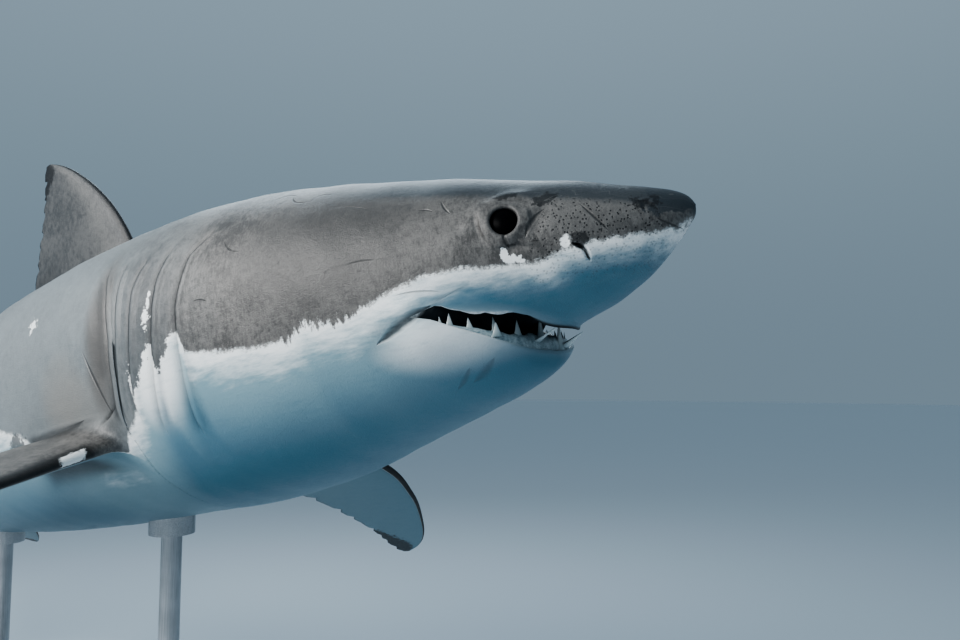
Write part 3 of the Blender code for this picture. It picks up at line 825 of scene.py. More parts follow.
# Fins on the midline: rows, +1 above or -1 below, wear, seed, ends and half angle of the
# root, rows of the grid, fillet, and which parts are dark
MIDLINE_FINS = (
    (FIRST_DORSAL, 1, 0.28, 1.0, (33.0, 48.6, math.pi, 0.17), 44, 0.9, dark_all_over),
    (SECOND_DORSAL, 1, 0.12, 2.0, (72.0, 75.9, math.pi, 0.25), 14, 0.3, dark_all_over),
    (ANAL, -1, 0.12, 3.0, (74.3, 77.9, 0.0, 0.25), 14, 0.3, pale_in_front),
)


# Fins on the sides: rows, root line, droop, twist, wear and seed; then a place on the root,
# its ends and half angle, rows of the grid, and fillet
PAIRED_FINS = (
    (PECTORAL, PECTORAL_ROOT, PECTORAL_DROOP, PECTORAL_TWIST, 0.22, 4.0,
     (31.0, -4.5), (26.55, 36.6, 0.25), 52, 0.9),
    (PELVIC, PELVIC_ROOT, PELVIC_DROOP, PELVIC_TWIST, 0.10, 6.0,
     (60.5, -5.1), (57.2, 63.2, 0.2), 16, 0.4),
)


def make_fins(skin, angle):
    """Every fin but the tail."""
    for rows, way, ragged, seed, root, count, fillet, margin in MIDLINE_FINS:
        fin = Fin(rows, upright(way), ragged=ragged, seed=seed)
        attach_fin(skin, angle, fin, root, count, fillet, margin)
    for side in (1, -1):
        for rows, line, droop, twist, ragged, seed, at, ends, count, fillet in PAIRED_FINS:
            fin = Fin(rows, paired(line, droop[side], side), twist[side], UNDERSIDE, ragged,
                      seed + side)
            front, back, half_turn = ends
            root = (front, back, -side * side_angle(*at), half_turn)
            attach_fin(skin, angle, fin, root, count, fillet, dark_on_top)


FORK, LOBE_END = 0.01, 0.02             # how far out the fork is, and short of a lobe's tip
TAIL_CROWDING = 0.85                    # how much closer rings lie towards the tips
TIP_POWER = 6                           # how late a lobe's front edge turns to its tip
PLATE_RUN = 0.3                         # share of the rings over which a lobe's plate grows
EDGE_ROUND = 0.02                       # share of a ring over which its front edge closes
TAIL_REACH = 15.0                       # height of a lobe that counts as its whole reach
BODY_END = BODY_STATIONS[-1][0]


def lobe_plan(lobe, sign, stock, across, t):
    """One ring of a lobe in side view (s, z), blended from the four sides of the lobe.

    These are the end of the stock, the trailing edge, the middle line and the leading
    edge. t runs from the stock to the trailing edge, across from the middle line outwards.
    """
    tip = lobe.at[-1] - LOBE_END
    root = np.abs(stock[:, 2]).max()
    lead_out, trail_out = root + (tip - root) * t, FORK + (tip - FORK) * across
    base, base_lead = np.array([TAIL, 0.0]), np.array([TAIL, sign * root])
    fork = np.array([lobe.read(FORK)[1], 0.0])
    lobe_tip = np.array([lobe.read(tip)[1], sign * tip])
    middle = base * (1 - t) + fork * t
    lead = np.array([lobe.read(lead_out)[0], sign * lead_out])
    lead = lead * (1 - t ** TIP_POWER) + lobe_tip * t ** TIP_POWER
    trail = np.stack((lobe.read(trail_out)[1], sign * trail_out), -1)
    c = across[:, None]
    return ((1 - c) * middle + c * lead + (1 - t) * stock[:, [0, 2]] + t * trail
            - (1 - c) * (1 - t) * base - (1 - c) * t * fork
            - c * (1 - t) * base_lead - c * t * lobe_tip)


def lobe_half_width(lobe, plan, angle, across, t):
    """Half the width of a ring: the lobe's own plate and the end of the stock, blended."""
    s, out = plan[:, 0], np.abs(plan[:, 1])
    lead, trail, thick = lobe.read(out)
    share = np.clip((s - lead) / np.maximum(trail - lead, 0.1), 0, 1)
    plate = thick * wing_half_thickness(share) + FIN_EDGE * share
    plate = plate * blend_step(0.0, PLATE_RUN, t)
    back, _, width = BODY.read(s)
    level = np.clip(out / np.maximum(back, 0.05), 0, 1)
    stock = width * (1 - level ** SECTION_POWER) ** (1 / SECTION_POWER)
    stock = np.where(s < BODY_END, stock, 0.0) + keel(s, angle)
    half = (plate ** 3 + stock ** 3) ** (1 / 3)
    return half * np.sqrt(np.clip((1 - across) / EDGE_ROUND, 0, 1))


def make_tail(skin, angle):
    """The two lobes of the tail, as rings that open like a fan from the tail stock."""
    stock = skin.at(skin.numbers[-1])
    top = np.cos(angle) < 0
    lobes = ((Table(CAUDAL_UPPER), top, 1), (Table(CAUDAL_LOWER), ~top, -1))
    across = np.abs(np.abs(angle) / (math.pi / 2) - 1)
    previous = skin.numbers[-1]
    for k in range(1, RINGS_TAIL + 1):
        t = (k / RINGS_TAIL) ** TAIL_CROWDING
        points = np.zeros((COLUMNS, 3))
        for lobe, here, sign in lobes:
            plan = lobe_plan(lobe, sign, stock[here], across[here], t)
            half = lobe_half_width(lobe, plan, angle[here], across[here], t)
            points[here] = np.stack((plan[:, 0], -np.sign(angle[here]) * half, plan[:, 1]), -1)
        margin = np.where(points[:, 2] > 0, 2.0, 1.2 - 1.6 * np.exp(-points[:, 2] ** 2 / 8))
        row = skin.add(points, margin=margin, share=t, reach=np.abs(points[:, 2]) / TAIL_REACH)
        skin.strip(previous, row)
        previous = row
    for j in range(COLUMNS // 2):
        corners = previous[[j, j + 1, (COLUMNS - j - 1) % COLUMNS, (COLUMNS - j) % COLUMNS]]
        skin.faces.append(list(dict.fromkeys(int(v) for v in corners)))


# Mouth ------------------------------------------------------------------------
# Rows from a lip into the mouth: inward, upward, how much is the mouth's inside, painted as in
# shade
UPPER_ROWS = ((0.05, -0.05, 0.05), (0.11, -0.07, 0.1), (0.18, 0.02, 1.0), (0.6, 0.50, 1.0),
              (1.3, 0.65, 1.0))
LOWER_ROWS = ((0.08, 0.05, 0.03), (0.22, 0.09, 0.1), (0.50, -0.05, 0.8), (0.9, -0.10, 1.0),
              (1.5, 0.10, 1.0))
LIP_ROWS = 2                            # of these rows follow the waves of the lip
MOUTH_DEPTH = 1.9
CORNER_SHARE, CORNER_POWER = 0.3, 0.7   # how the rows close up towards the corners
THROAT_CENTRE = 11.2                    # distance from the snout that the rows run towards
SCALLOP, SCALLOP_LENGTH = 0.11, 1.0     # waves of the upper lip's edge
SCALLOP_START, SCALLOP_RUN = 6.6, 0.7   # where they begin behind the snout
UPPER_GUM, UPPER_GUM_END, UPPER_GUM_RUN = 0.26, 6.85, 0.35  # the gum that hangs in front
UPPER_GUM_ROW = 2                       # the row of the lip that it hangs from


def inward(points):
    """Level direction from the lips to the middle of the mouth."""
    return unit(np.stack((THROAT_CENTRE - points[:, 0], -points[:, 1], 0 * points[:, 0]), -1))


def make_mouth(skin, angle):
    """Lips that roll in, and the inside of the mouth behind them, painted as in shade."""
    last = int(skin.mouth_columns[skin.mouth_columns < COLUMNS // 2].max())
    columns = [j % COLUMNS for j in range(last + 1, -last - 2, -1)]
    upper = skin.numbers[skin.split][columns]
    lower = skin.lower_lip[columns]
    lower[0], lower[-1] = upper[0], upper[-1]
    inner = slice(1, -1)
    top, bottom = skin.at(upper)[inner], skin.at(lower)[inner]
    open_share = 1 - np.abs(angle[columns][inner]) / skin.corner
    depth = np.clip(open_share / CORNER_SHARE, 0.0, 1.0)[:, None] ** CORNER_POWER
    ends = []
    for lip, points, rows, wavy in ((upper, top, UPPER_ROWS, 1), (lower, bottom, LOWER_ROWS, 0)):
        previous = lip
        wave = SCALLOP * np.abs(np.sin(math.pi * run_along(points) / SCALLOP_LENGTH)) * wavy
        wave = wave * np.clip((points[:, 0] - SCALLOP_START) / SCALLOP_RUN, 0, 1)
        hang = UPPER_GUM * np.clip((UPPER_GUM_END - points[:, 0]) / UPPER_GUM_RUN, 0, 1) * wavy
        for number, (into, rise, lining) in enumerate(rows):
            moved = points + inward(points) * into * depth
            moved[:, 2] += rise * depth[:, 0]
            if number < LIP_ROWS:
                moved[:, 2] -= wave * depth[:, 0]
            if number == UPPER_GUM_ROW:
                moved[:, 2] -= hang
            # the mouth's inside and its creases carry painted shade
            row = skin.add(moved, margin=grey_margin(moved), lining=lining,
                           crease=0.3 * lining)
            row = np.concatenate((lip[:1], row, lip[-1:]))
            skin.strip(previous, row, closed=False)
            previous = row
        ends.append(previous)
    middle = (top + bottom) / 2
    middle = middle + inward(middle) * MOUTH_DEPTH * depth
    # the back of the mouth, in full painted shade
    row = skin.add(middle, margin=-3.0, lining=1.0, crease=1.0)
    row = np.concatenate((upper[:1], row, upper[-1:]))
    skin.strip(ends[0], row, closed=False)
    skin.strip(ends[1], row, closed=False)


def new_piece(name, mesh):
    """A finished mesh as a piece of the model."""
    item = bpy.data.objects.new(name, mesh)
    bpy.context.scene.collection.objects.link(item)
    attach(item, "root")
    return item


def column_angles():
    """Angle from the belly of each column of the grid."""
    angle = np.arange(COLUMNS) * 2 * math.pi / COLUMNS
    return np.where(angle > math.pi + 1e-6, angle - 2 * math.pi, angle)


JAW_PATH_SHARE, JAW_PATH_POINTS = 0.93, 240     # of the way to the corners, and its points


def jaw_path(into, rise):
    """The lower jaw from the right corner of the mouth to the left one, inside the lip.

    The rise is in full at the front and less towards the corners, as the gum is.
    """
    lower = LipLine(LOWER_LIP, JAW)
    end = lower.corner * JAW_PATH_SHARE
    angle = np.linspace(end, -end, JAW_PATH_POINTS)
    points = body_point(lower.read(angle), angle, JAW)
    points = points + inward(points) * into
    points[:, 2] += rise * gum_size(points)
    return points


def run_along(points):
    """Distance travelled along a path at each of its points."""
    return np.concatenate(([0], np.cumsum(np.linalg.norm(np.diff(points, axis=0), axis=1))))


def gum_size(path):
    """Height of the gum along its path, as a share of its height at the front."""
    share = run_along(path) / run_along(path)[-1]
    size = np.clip(np.minimum(share, 1 - share) / GUM_TAPER, GUM_LEAST, 1)
    return size ** GUM_TAPER_POWER


def tube(name, path, across, up, sides):
    """A closed, lumpy tube of oval section along a path in body coordinates."""
    shape = SkinBuilder()
    side = unit(np.cross(unit(np.gradient(path, axis=0)), [0, 0, 1.0]))
    previous = None
    share = np.linspace(0, 1, len(path))
    size = gum_size(path)
    lumps = 1 + GUM_LUMPS * np.sin(run_along(path) * 2 * math.pi / GUM_LUMP_LENGTH)
    for i, point in enumerate(path):
        turn = np.arange(sides) * 2 * math.pi / sides
        ring = (point + side[i] * (across * size[i] ** 0.5 * np.cos(turn))[:, None]
                + np.array([0, 0, 1.0]) * (up * size[i] * lumps[i] * np.sin(turn))[:, None])
        row = shape.add(ring, share=np.sin(turn), reach=share[i])
        if previous is not None:
            shape.strip(previous, row)
        else:
            shape.faces.append([int(v) for v in row])
        previous = row
    shape.faces.append([int(v) for v in previous])
    return shape.mesh(name)


# Materials --------------------------------------------------------------------
def maths_method(operation, swapped=False):
    """A method that joins two values by a maths node; swapped puts the other value first."""
    def joined(self, other):
        """The two values, joined."""
        values = (other, self) if swapped else (self, other)
        return self.maths(operation, *values)

    return joined


class Wire:
    """A socket in a material, so that shader maths reads as plain expressions."""

    def __init__(self, tree, socket=None):
        self.tree, self.socket = tree, socket

    def new(self, kind, settings=None, inputs=None, output=0):
        """Add a node. Its settings are set first, then its sockets' values or links."""
        node = self.tree.nodes.new(kind)
        for name, value in (settings or {}).items():
            setattr(node, name, value)
        for key, value in (inputs or {}).items():
            if isinstance(value, Wire):
                self.tree.links.new(value.socket, node.inputs[key])
            else:
                node.inputs[key].default_value = value
        return Wire(self.tree, node.outputs[output])

    def maths(self, operation, *values):
        """A maths node on wires or numbers."""
        return self.new("ShaderNodeMath", {"operation": operation}, dict(enumerate(values)))

    __add__, __radd__ = maths_method("ADD"), maths_method("ADD", swapped=True)
    __sub__, __rsub__ = maths_method("SUBTRACT"), maths_method("SUBTRACT", swapped=True)
    __mul__, __rmul__ = maths_method("MULTIPLY"), maths_method("MULTIPLY", swapped=True)
    __truediv__, __pow__ = maths_method("DIVIDE"), maths_method("POWER")
    most = maths_method("MAXIMUM")

    def size(self):
        """The value without its sign."""
        return self.maths("ABSOLUTE", self)

    def rise(self, low, high):
        """0 below low and 1 above high, with a smooth rise between."""
        return self.new("ShaderNodeMapRange", {"interpolation_type": "SMOOTHSTEP"},
                        {"Value": self, "From Min": low, "From Max": high})

    def between(self, first, second):
        """The first colour where this mask is 0, the second where it is 1."""
        return self.new("ShaderNodeMix", {"data_type": "RGBA"},
                        {0: self, 6: first, 7: second}, output=2)

    def attribute(self, name, vector=False):
        """A value that the piece's mesh carries."""
        return self.new("ShaderNodeAttribute", {"attribute_name": name}, None,
                        output=1 if vector else 2)

    def coordinates(self, kind):
        """Object coordinates of a piece, or Generated ones of the surround."""
        return self.new("ShaderNodeTexCoord", output=kind)

    def part(self, axis):
        """One coordinate of a vector."""
        return self.new("ShaderNodeSeparateXYZ", None, {0: self}, output="XYZ".index(axis))

    def scaled(self, x, y, z):
        """A vector with each coordinate scaled."""
        return self.new("ShaderNodeVectorMath", {"operation": "MULTIPLY"},
                        {0: self, 1: (x, y, z)})

    def noise(self, scale, detail=4.0, roughness=0.55):
        """Cloudy noise at this vector, about 0.5 on average."""
        return self.new("ShaderNodeTexNoise", None, {
            "Vector": self, "Scale": scale, "Detail": detail, "Roughness": roughness})

    def cells(self, scale):
        """Distance to the nearest of scattered points."""
        return self.new("ShaderNodeTexVoronoi", None, {"Vector": self, "Scale": scale})


def new_material(name):
    """An empty material with its shader; returns (material, shader, a wire to build from)."""
    material = bpy.data.materials.new(name)
    material.use_nodes = True
    tree = material.node_tree
    shader = tree.nodes["Principled BSDF"]
    return material, shader, Wire(tree)


def connect(shader, **inputs):
    """Set or link the shader's sockets; underscores stand for the spaces of their names."""
    tree = shader.id_data
    for name, value in inputs.items():
        socket = shader.inputs[name.replace("_", " ")]
        if isinstance(value, Wire):
            tree.links.new(value.socket, socket)
        else:
            socket.default_value = value


def painted(colour, *layers):
    """A colour with layers over it, each a mask and its own colour."""
    for mask, over in layers:
        colour = mask.between(colour, over)
    return colour


def bump(start, height, strength, distance):
    """A surface normal from a height."""
    return start.new("ShaderNodeBump", None, {
        "Height": height, "Strength": strength, "Distance": distance})


def oval(layout, s, z, reach_s, reach_z):
    """Square of the distance from a place in side view, 1 all round the oval."""
    across = (layout.part("X") - s) / reach_s
    up = (layout.part("Z") - z) / reach_z
    return across * across + up * up


def spot(layout, s, z, reach_s, reach_z, ragged, wobble):
    """A ragged patch on the side of the body, 1 inside."""
    distance = oval(layout, s, z, reach_s, reach_z) ** 0.5
    return 1.0 - (distance + (wobble - 0.5) * (ragged * 3.5)).rise(0.80, 1.05)


def glow(layout, s, z, reach_s, reach_z):
    """A soft patch on the side of the body, 1 in the middle."""
    return 1.0 - oval(layout, s, z, reach_s, reach_z).rise(0.0, 1.0)


def stroke(layout, start, end, width, bend=0.0):
    """A thin mark on the side of the body that tapers to both ends, 1 inside."""
    run, rise = end[0] - start[0], end[1] - start[1]
    length = math.hypot(run, rise)
    s, z = layout.part("X") - start[0], layout.part("Z") - start[1]
    along = s * (run / length ** 2) + z * (rise / length ** 2)
    taper = (along * (1.0 - along) * 4.0).most(0.0)
    off = (s * (rise / length) - z * (run / length) - taper * bend).size()
    return 1.0 - (off / (taper * width + 0.001)).rise(0.1, 1.0)


# Marks on the right side of the head and body, some of them painted shade in folds, in side view
# (s, z): two ends, half width, how far it bows, and how dark it is
DARK_STROKES = (
    # painted shade in the fold behind the corner of the mouth
    ((9.55, -2.20), (12.1, -3.25), 0.30, -0.06, 1.2),
    ((4.95, 0.80), (5.75, -0.35), 0.12, -0.10, 0.8),
    ((3.75, 0.75), (2.90, -0.70), 0.07, 0.04, 1.0),
    ((1.85, 0.45), (1.20, -0.10), 0.16, 0.08, 1.0),
    ((1.35, -0.38), (0.70, -0.86), 0.08, -0.03, 1.0),
    ((6.40, 0.10), (6.40, -0.60), 0.12, 0.0, 1.0),
    # painted shade in two creases under the chin
    ((8.30, -4.60), (9.70, -5.35), 0.16, 0.06, 0.4),
    ((9.35, -4.80), (10.4, -5.50), 0.11, 0.05, 0.4),
    ((28.6, 0.50), (26.9, -3.20), 0.13, 0.10, 0.9),
    # painted shade where the pectoral fin meets the body
    ((34.8, -3.90), (29.4, -2.85), 0.42, 0.0, 1.2),
    ((9.70, 2.00), (9.05, 1.75), 0.06, 0.05, 0.7),
    ((8.80, 2.20), (8.30, 1.40), 0.06, -0.05, 0.7),
    ((17.6, 5.20), (16.2, 5.00), 0.06, 0.20, 0.8),
    ((16.4, 5.05), (15.0, 4.30), 0.06, -0.25, 0.8),
    ((15.2, 4.45), (14.2, 4.35), 0.05, 0.15, 0.8),
    ((10.8, -1.50), (9.10, -1.75), 0.05, 0.08, 0.8),
    ((13.8, 3.40), (11.9, 2.75), 0.04, 0.10, 0.4),
    ((18.9, 3.30), (17.9, 2.50), 0.05, -0.15, 0.5),
    ((20.4, 0.80), (19.5, 0.55), 0.08, 0.05, 0.5),
    ((12.6, 0.30), (11.4, 0.20), 0.04, 0.06, 0.4),
)
# Patches: middle, half length, half height, how ragged
DARK_PATCHES = (
    (4.95, 1.25, 0.42, 0.34, 0.7),
    (6.30, 1.80, 0.42, 0.20, 1.0),
    # painted shadow above the nostril
    (3.95, -0.80, 0.36, 0.36, 0.4),
    (1.60, 0.40, 0.45, 0.30, 1.3),
    (36.8, -2.75, 0.9, 0.5, 1.2),
)
WHITE_PATCHES = (
    (6.62, -0.80, 0.14, 0.30, 0.9),
    (6.35, -1.02, 0.26, 0.16, 0.9),
    (6.10, -1.20, 0.18, 0.10, 0.9),
    # painted highlight beside the nostril
    (4.38, -0.80, 0.22, 0.28, 0.5),
    (23.40, 0.85, 0.20, 0.42, 1.6),
    (23.25, 1.55, 0.12, 0.45, 1.0),
    (24.95, -2.10, 0.16, 0.75, 1.2),
    (34.30, 3.35, 0.42, 0.36, 1.4),
)
# Soft areas in side view: middle (s, z) and reach (s, z); some are painted light and shade
MUZZLE = (3.4, 0.2, 2.4, 1.5)
# painted shade: the flank darker below the back's highlight
FLANK = (13.5, 1.8, 6.0, 4.5)
GILL_BANDS = (23.6, 0.5, 3.0, 5.0)
BEHIND_GILLS = (27.2, 0.8, 1.5, 5.5)
# painted sheen: a paler patch above the pectoral fin
SHOULDER_SHEEN = (30.0, -2.4, 3.8, 2.4)
SHEEN = (31.0, -1.0, 2.6, 2.4)
# painted light on the white under the gills; the same area makes the grey's edge more ragged
# there
GILLS_LIT_AND_RAGGED = (23.4, -1.6, 2.6, 3.4)
# painted light: the lower jaw's white made brighter where it bulges towards the light
LIT_JAW = (9.3, -3.7, 3.6, 1.5)
PALE_BAND = (26.45, 0.3, 0.22, 3.4, 0.4)    # a patch, so how ragged it is comes last


class SkinWires:
    """What the parts of the skin's material share: the mesh's values, noises and masks."""

    def __init__(self, start):
        self.layout = start.attribute("layout", vector=True)
        for name in SkinBuilder.VALUES:
            setattr(self, name, start.attribute(name))
        self.s, self.y, self.z = (self.layout.part(axis) for axis in "XYZ")
        self.on_body = 1.0 - (self.reach * 50.0).rise(0.0, 1.0)
        self.on_fin = (self.reach * 20.0).rise(0.3, 1.0)
        self.right = (0.0 - self.y).rise(0.0, 0.4) * self.on_body
        self.cloud = self.layout.noise(0.30, 4.0, 0.6)
        self.mottle = self.layout.noise(2.4, 6.0, 0.68)
        self.hatch = self.layout.scaled(1.5, 1.0, 0.45).noise(6.0, 4.0, 0.75)
        self.grain = self.layout.scaled(1.0, 1.0, 1.7).noise(8.0, 5.0, 0.75)
        self.wobble = self.layout.noise(3.0, 5.0, 0.7)
        # painted light under the gills, and a more ragged grey edge there
        self.gills = glow(self.layout, *GILLS_LIT_AND_RAGGED)
        crown = (self.z - self.s * 0.30 + 0.30 + (self.mottle - 0.5) * 0.7).rise(-0.10, 0.35)
        self.crown = crown * (1.0 - self.s.rise(9.0, 17.0)) * self.on_body

    def patches(self, rows):
        """Ragged patches on the right side, 1 inside any of them."""
        mask = 0.0 * self.mottle
        for row in rows:
            mask = mask.most(spot(self.layout, *row, self.wobble))
        return mask * self.right

    def strokes(self):
        """Dark strokes on the right side, as strong as each of them is."""
        mask = 0.0 * self.mottle
        for first, last, width, bend, strength in DARK_STROKES:
            mask = mask.most(stroke(self.layout, first, last, width, bend) * strength)
        return mask * self.right

    def lines(self, stretch, scale, detail, width):
        """Thin lines that wander over the skin, 1 in their middle."""
        away = (self.layout.scaled(*stretch).noise(scale, detail) - 0.5).size()
        return 1.0 - away.rise(0.0, width)

    def pores(self, grey):
        """Pores of the muzzle, fainter where it is white."""
        zone = self.s.rise(0.9, 1.5) * (1.0 - (self.s + self.z * 0.45).rise(5.0, 5.5))
        zone = zone * self.on_body * (self.z + 2.6).rise(0.0, 0.7) * (1.0 - self.crown)
        zone = zone * self.mottle.rise(0.34, 0.42)
        return (1.0 - self.layout.cells(7.2).rise(0.20, 0.34)) * zone * (0.30 + 0.70 * grey)


def grey_and_white(here, look):
    """Where the skin is grey, and where white patches break into the grey."""
    strokes = here.layout.scaled(3.4, 1.0, 0.8).noise(1.6, 5.0, 0.72)
    long_strokes = 0.5 + 3.2 * here.s.rise(11.5, 13.0) * (1.0 - here.s.rise(15.2, 16.5))
    ragged = ((strokes - 0.5) * long_strokes * look.ragged
              + (here.mottle - 0.5) * (0.6 + 2.4 * here.gills) + (here.grain - 0.5) * 0.5)
    white = here.patches(WHITE_PATCHES)
    return (here.margin + ragged).rise(-0.12, 0.14) * (1.0 - white), white


def back_colour(here, look):
    """Speckled grey, slate on the crown and snout, and paler behind the gills, partly as
    painted light; with painted sheen behind the gills and on the shoulder, and painted shade on
    the flank.
    """
    layout, s, z, on_body, wobble = here.layout, here.s, here.z, here.on_body, here.wobble
    tone = here.cloud * 0.25 + here.mottle * 0.25 + here.grain * 0.20 + here.hatch * 0.30
    rear = (s + (here.cloud - 0.5) * 6.0).rise(18.0, 30.0) * (1.0 - 0.7 * s.rise(38.0, 56.0))
    snout = (1.0 - (s + (wobble - 0.5) * 3.0).rise(1.45, 1.70)) * on_body
    snout = snout * (z + (wobble - 0.5) * 1.5).rise(-0.35, -0.20)
    return painted(
        tone.rise(0.43, 0.57).between(look.back_dark, look.back_light),
        (glow(layout, *MUZZLE) * 0.45, look.back_light),
        # painted shade on the flank
        (glow(layout, *FLANK) * 0.8, look.back_dark),
        # paler grey behind the gills, partly painted light
        (rear * on_body * (0.30 + tone), look.rear),
        (glow(layout, *GILL_BANDS) * on_body * 0.35, look.crown),
        # painted sheen above the pectoral fin
        (glow(layout, *SHOULDER_SHEEN) * on_body * (0.1 + tone), look.pale_tone_and_sheen),
        (here.crown * 0.85, look.crown),
        (snout * 0.85, look.crown),
        (glow(layout, *BEHIND_GILLS) * on_body * (0.4 + 0.5 * tone), look.brown),
        (glow(layout, *SHEEN) * on_body * tone, look.pale_tone_and_sheen),
        (spot(layout, *PALE_BAND, wobble) * on_body * 0.4, look.back_light))


def belly_colour(here, look, white):
    """White belly: brightest next to the grey, on the jaw and under the gills, as painted light,
    and bluer and duller further down and under the snout, as painted shade.
    """
    low = 0.0 - here.margin
    streak = here.layout.scaled(0.5, 1.0, 2.2).noise(1.6, 5.0, 0.6)
    # painted light on the lower jaw
    jaw = glow(here.layout, *LIT_JAW) * 0.9
    # painted light: the white is brightest next to the grey, on the jaw and under the gills
    lit_white = 1.0 - (low + (streak - 0.5) * 2.0).rise(-0.1, 1.7)
    lit_white = lit_white.most(jaw).most(here.gills)
    # painted shade under the snout
    under_snout_shade = (low + (streak - 0.5) * 0.6).rise(0.0, 1.2) * (1.0 - here.s.rise(8.0, 11.0))
    under_snout_shade = under_snout_shade * here.on_body * (1.0 - jaw)
    return painted(
        lit_white.between(look.belly_shade, look.belly),
        (under_snout_shade * 0.85, look.underside_shade),
        # painted shade, deeper further down the underside
        (low.rise(1.1, 5.0) * (0.85 - 0.3 * jaw), look.underside_shade),
        # random streaks in the colour of the painted shade
        (streak.rise(0.5, 0.8) * 0.20, look.underside_shade),
        (white, look.belly))


def fin_layers(here, look, grey):
    """Layers of the fins: a paler band along the front, dark rims and tips, painted shade at the
    root, and a scar.
    """
    share, reach, wobble = here.share, here.reach, here.wobble
    on_top = grey * here.on_fin
    band = share.rise(0.05, 0.14) * (1.0 - share.rise(0.16, 0.34)) * on_top
    rim = share.rise(0.965, 1.0).most(1.0 - share.rise(0.015, 0.06)) * here.on_fin
    heel = share.rise(0.55, 0.95) * (1.0 - reach.rise(0.02, 0.25)) * on_top
    tip = (reach + share * 0.30 + (wobble - 0.5) * 0.20).rise(1.02, 1.06) * here.on_fin
    # painted shade where a fin's lower side meets the body
    root = reach.rise(0.001, 0.008) * (1.0 - reach.rise(0.012, 0.05)) * share.rise(0.15, 0.4)
    root = root * (1.0 - (here.z + 2.0).rise(0.0, 1.0))
    scar = (1.0 - (here.y + 9.5 + (wobble - 0.5)).size().rise(0.5, 0.7)) * here.on_fin
    scar = scar * (1.0 - (share + (wobble - 0.5) * 0.05).rise(0.012, 0.022))
    return ((on_top * 0.45 * here.z.rise(0.0, 2.0), look.crown),
            (band * 0.20, look.pale_tone_and_sheen),
            (rim * (0.30 + 0.60 * grey), look.dark),
            (heel * 0.8, look.dark),
            (tip * 0.92, look.dark),
            # painted shade at the fin's root
            (root * 0.7, look.dark),
            (scar, look.belly))


def skin_finish(look):
    """Mottled grey back, white belly, a ragged edge between, pores and scratches, with painted
    sheen, a painted shaded underside, and painted shade in creases and the mouth.
    """
    material, shader, start = new_material("shark_skin")
    here = SkinWires(start)
    grey, white = grey_and_white(here, look)
    pores, marks_and_fold_shade = here.pores(grey), here.strokes()
    scratch = here.lines((1.0, 0.4, 2.2), 1.1, 2.0, 0.010) * here.wobble.rise(0.55, 0.7)
    thin = here.lines((0.9, 0.3, 0.5), 2.3, 1.0, 0.005) * here.mottle.rise(0.52, 0.62)
    scratch = scratch.most(thin)
    pale = here.lines((0.35, 0.4, 1.1), 1.7, 1.0, 0.006) * here.cloud.rise(0.5, 0.6) * grey
    lip_edge = here.lining.rise(0.0, 0.06) * (0.4 + 0.6 * here.mottle.rise(0.4, 0.6))
    colour = painted(
        grey.between(belly_colour(here, look, white), back_colour(here, look)),
        (pores * 0.92, look.dark),
        (here.patches(DARK_PATCHES) * 0.75, look.dark),
        # dark marks, and painted shade in folds
        (marks_and_fold_shade * (0.35 + 0.5 * here.mottle), look.dark),
        (scratch * 0.45 * grey, look.dark),
        (pale * 0.35, look.pale_tone_and_sheen),
        *fin_layers(here, look, grey),
        # painted shade in creases, gill slits, the eyes' and nostrils' openings and the mouth
        (here.crease * (0.35 + 0.57 * grey.most(here.lining)), look.dark),
        (lip_edge * here.s.rise(7.1, 7.5), look.belly),
        # the mouth's inside in painted shade
        (here.lining.rise(0.15, 0.8), look.lining))
    fine = here.layout.noise(18.0, 3.0, 0.6)
    dents = here.grain * 0.4 + fine * 0.3 + here.mottle * 0.5
    dents = dents - pores * 0.8 - scratch * 0.3 - marks_and_fold_shade * 1.5
    normal = bump(start, dents, look.grain, 0.004)
    roughness = 0.38 + (here.grain - 0.5) * 0.25 + (here.mottle - 0.5) * 0.10
    connect(shader, Base_Color=colour, Roughness=roughness, Normal=normal,
            Specular_IOR_Level=0.5)
    return material


def eye_finish(look):
    """A black, wet eye with a thin paler rim."""
    material, shader, start = new_material("shark_eye")
    ring = start.attribute("share")
    cloud = start.attribute("layout", vector=True).noise(6.0, 3.0)
    colour = (ring.rise(0.80, 0.97) * (0.4 + 0.5 * cloud)).between(look.eye, look.eye_rim)
    connect(shader, Base_Color=colour, Roughness=0.32 + cloud * 0.05, Specular_IOR_Level=0.05)
    return material


def tooth_finish(look):
    """Ivory teeth, greyer and duller towards the gum."""
    material, shader, start = new_material("shark_tooth")
    streak = start.coordinates("Object").scaled(1.0, 1.0, 0.3).noise(260.0, 4.0)
    height = start.attribute("tooth_height")
    colour = (height.rise(0.0, 0.6) * 0.8 + streak * 0.2).between(look.tooth_root, look.tooth)
    normal = bump(start, streak, 0.25, 0.0005)
    connect(shader, Base_Color=colour, Roughness=0.22 + streak * 0.15, Normal=normal,
            Coat_Weight=0.3)
    return material


def gum_finish(look):
    """Moist gum, painted darker in the hollows of its lumpy relief as shade."""
    material, shader, start = new_material("shark_gum")
    layout = start.attribute("layout", vector=True)
    lumps = layout.noise(2.6, 4.0)
    veins = layout.scaled(1.0, 1.0, 2.0).noise(7.0, 5.0, 0.65)
    # painted shade: darker where the relief is low
    colour = (lumps * 0.5 + veins * 0.5).rise(0.35, 0.65).between(look.gum_dark, look.gum)
    normal = bump(start, lumps + veins * 0.4, 0.5, 0.004)
    connect(shader, Base_Color=colour, Roughness=0.28 + veins * 0.15, Normal=normal,
            Coat_Weight=0.25)
    return material


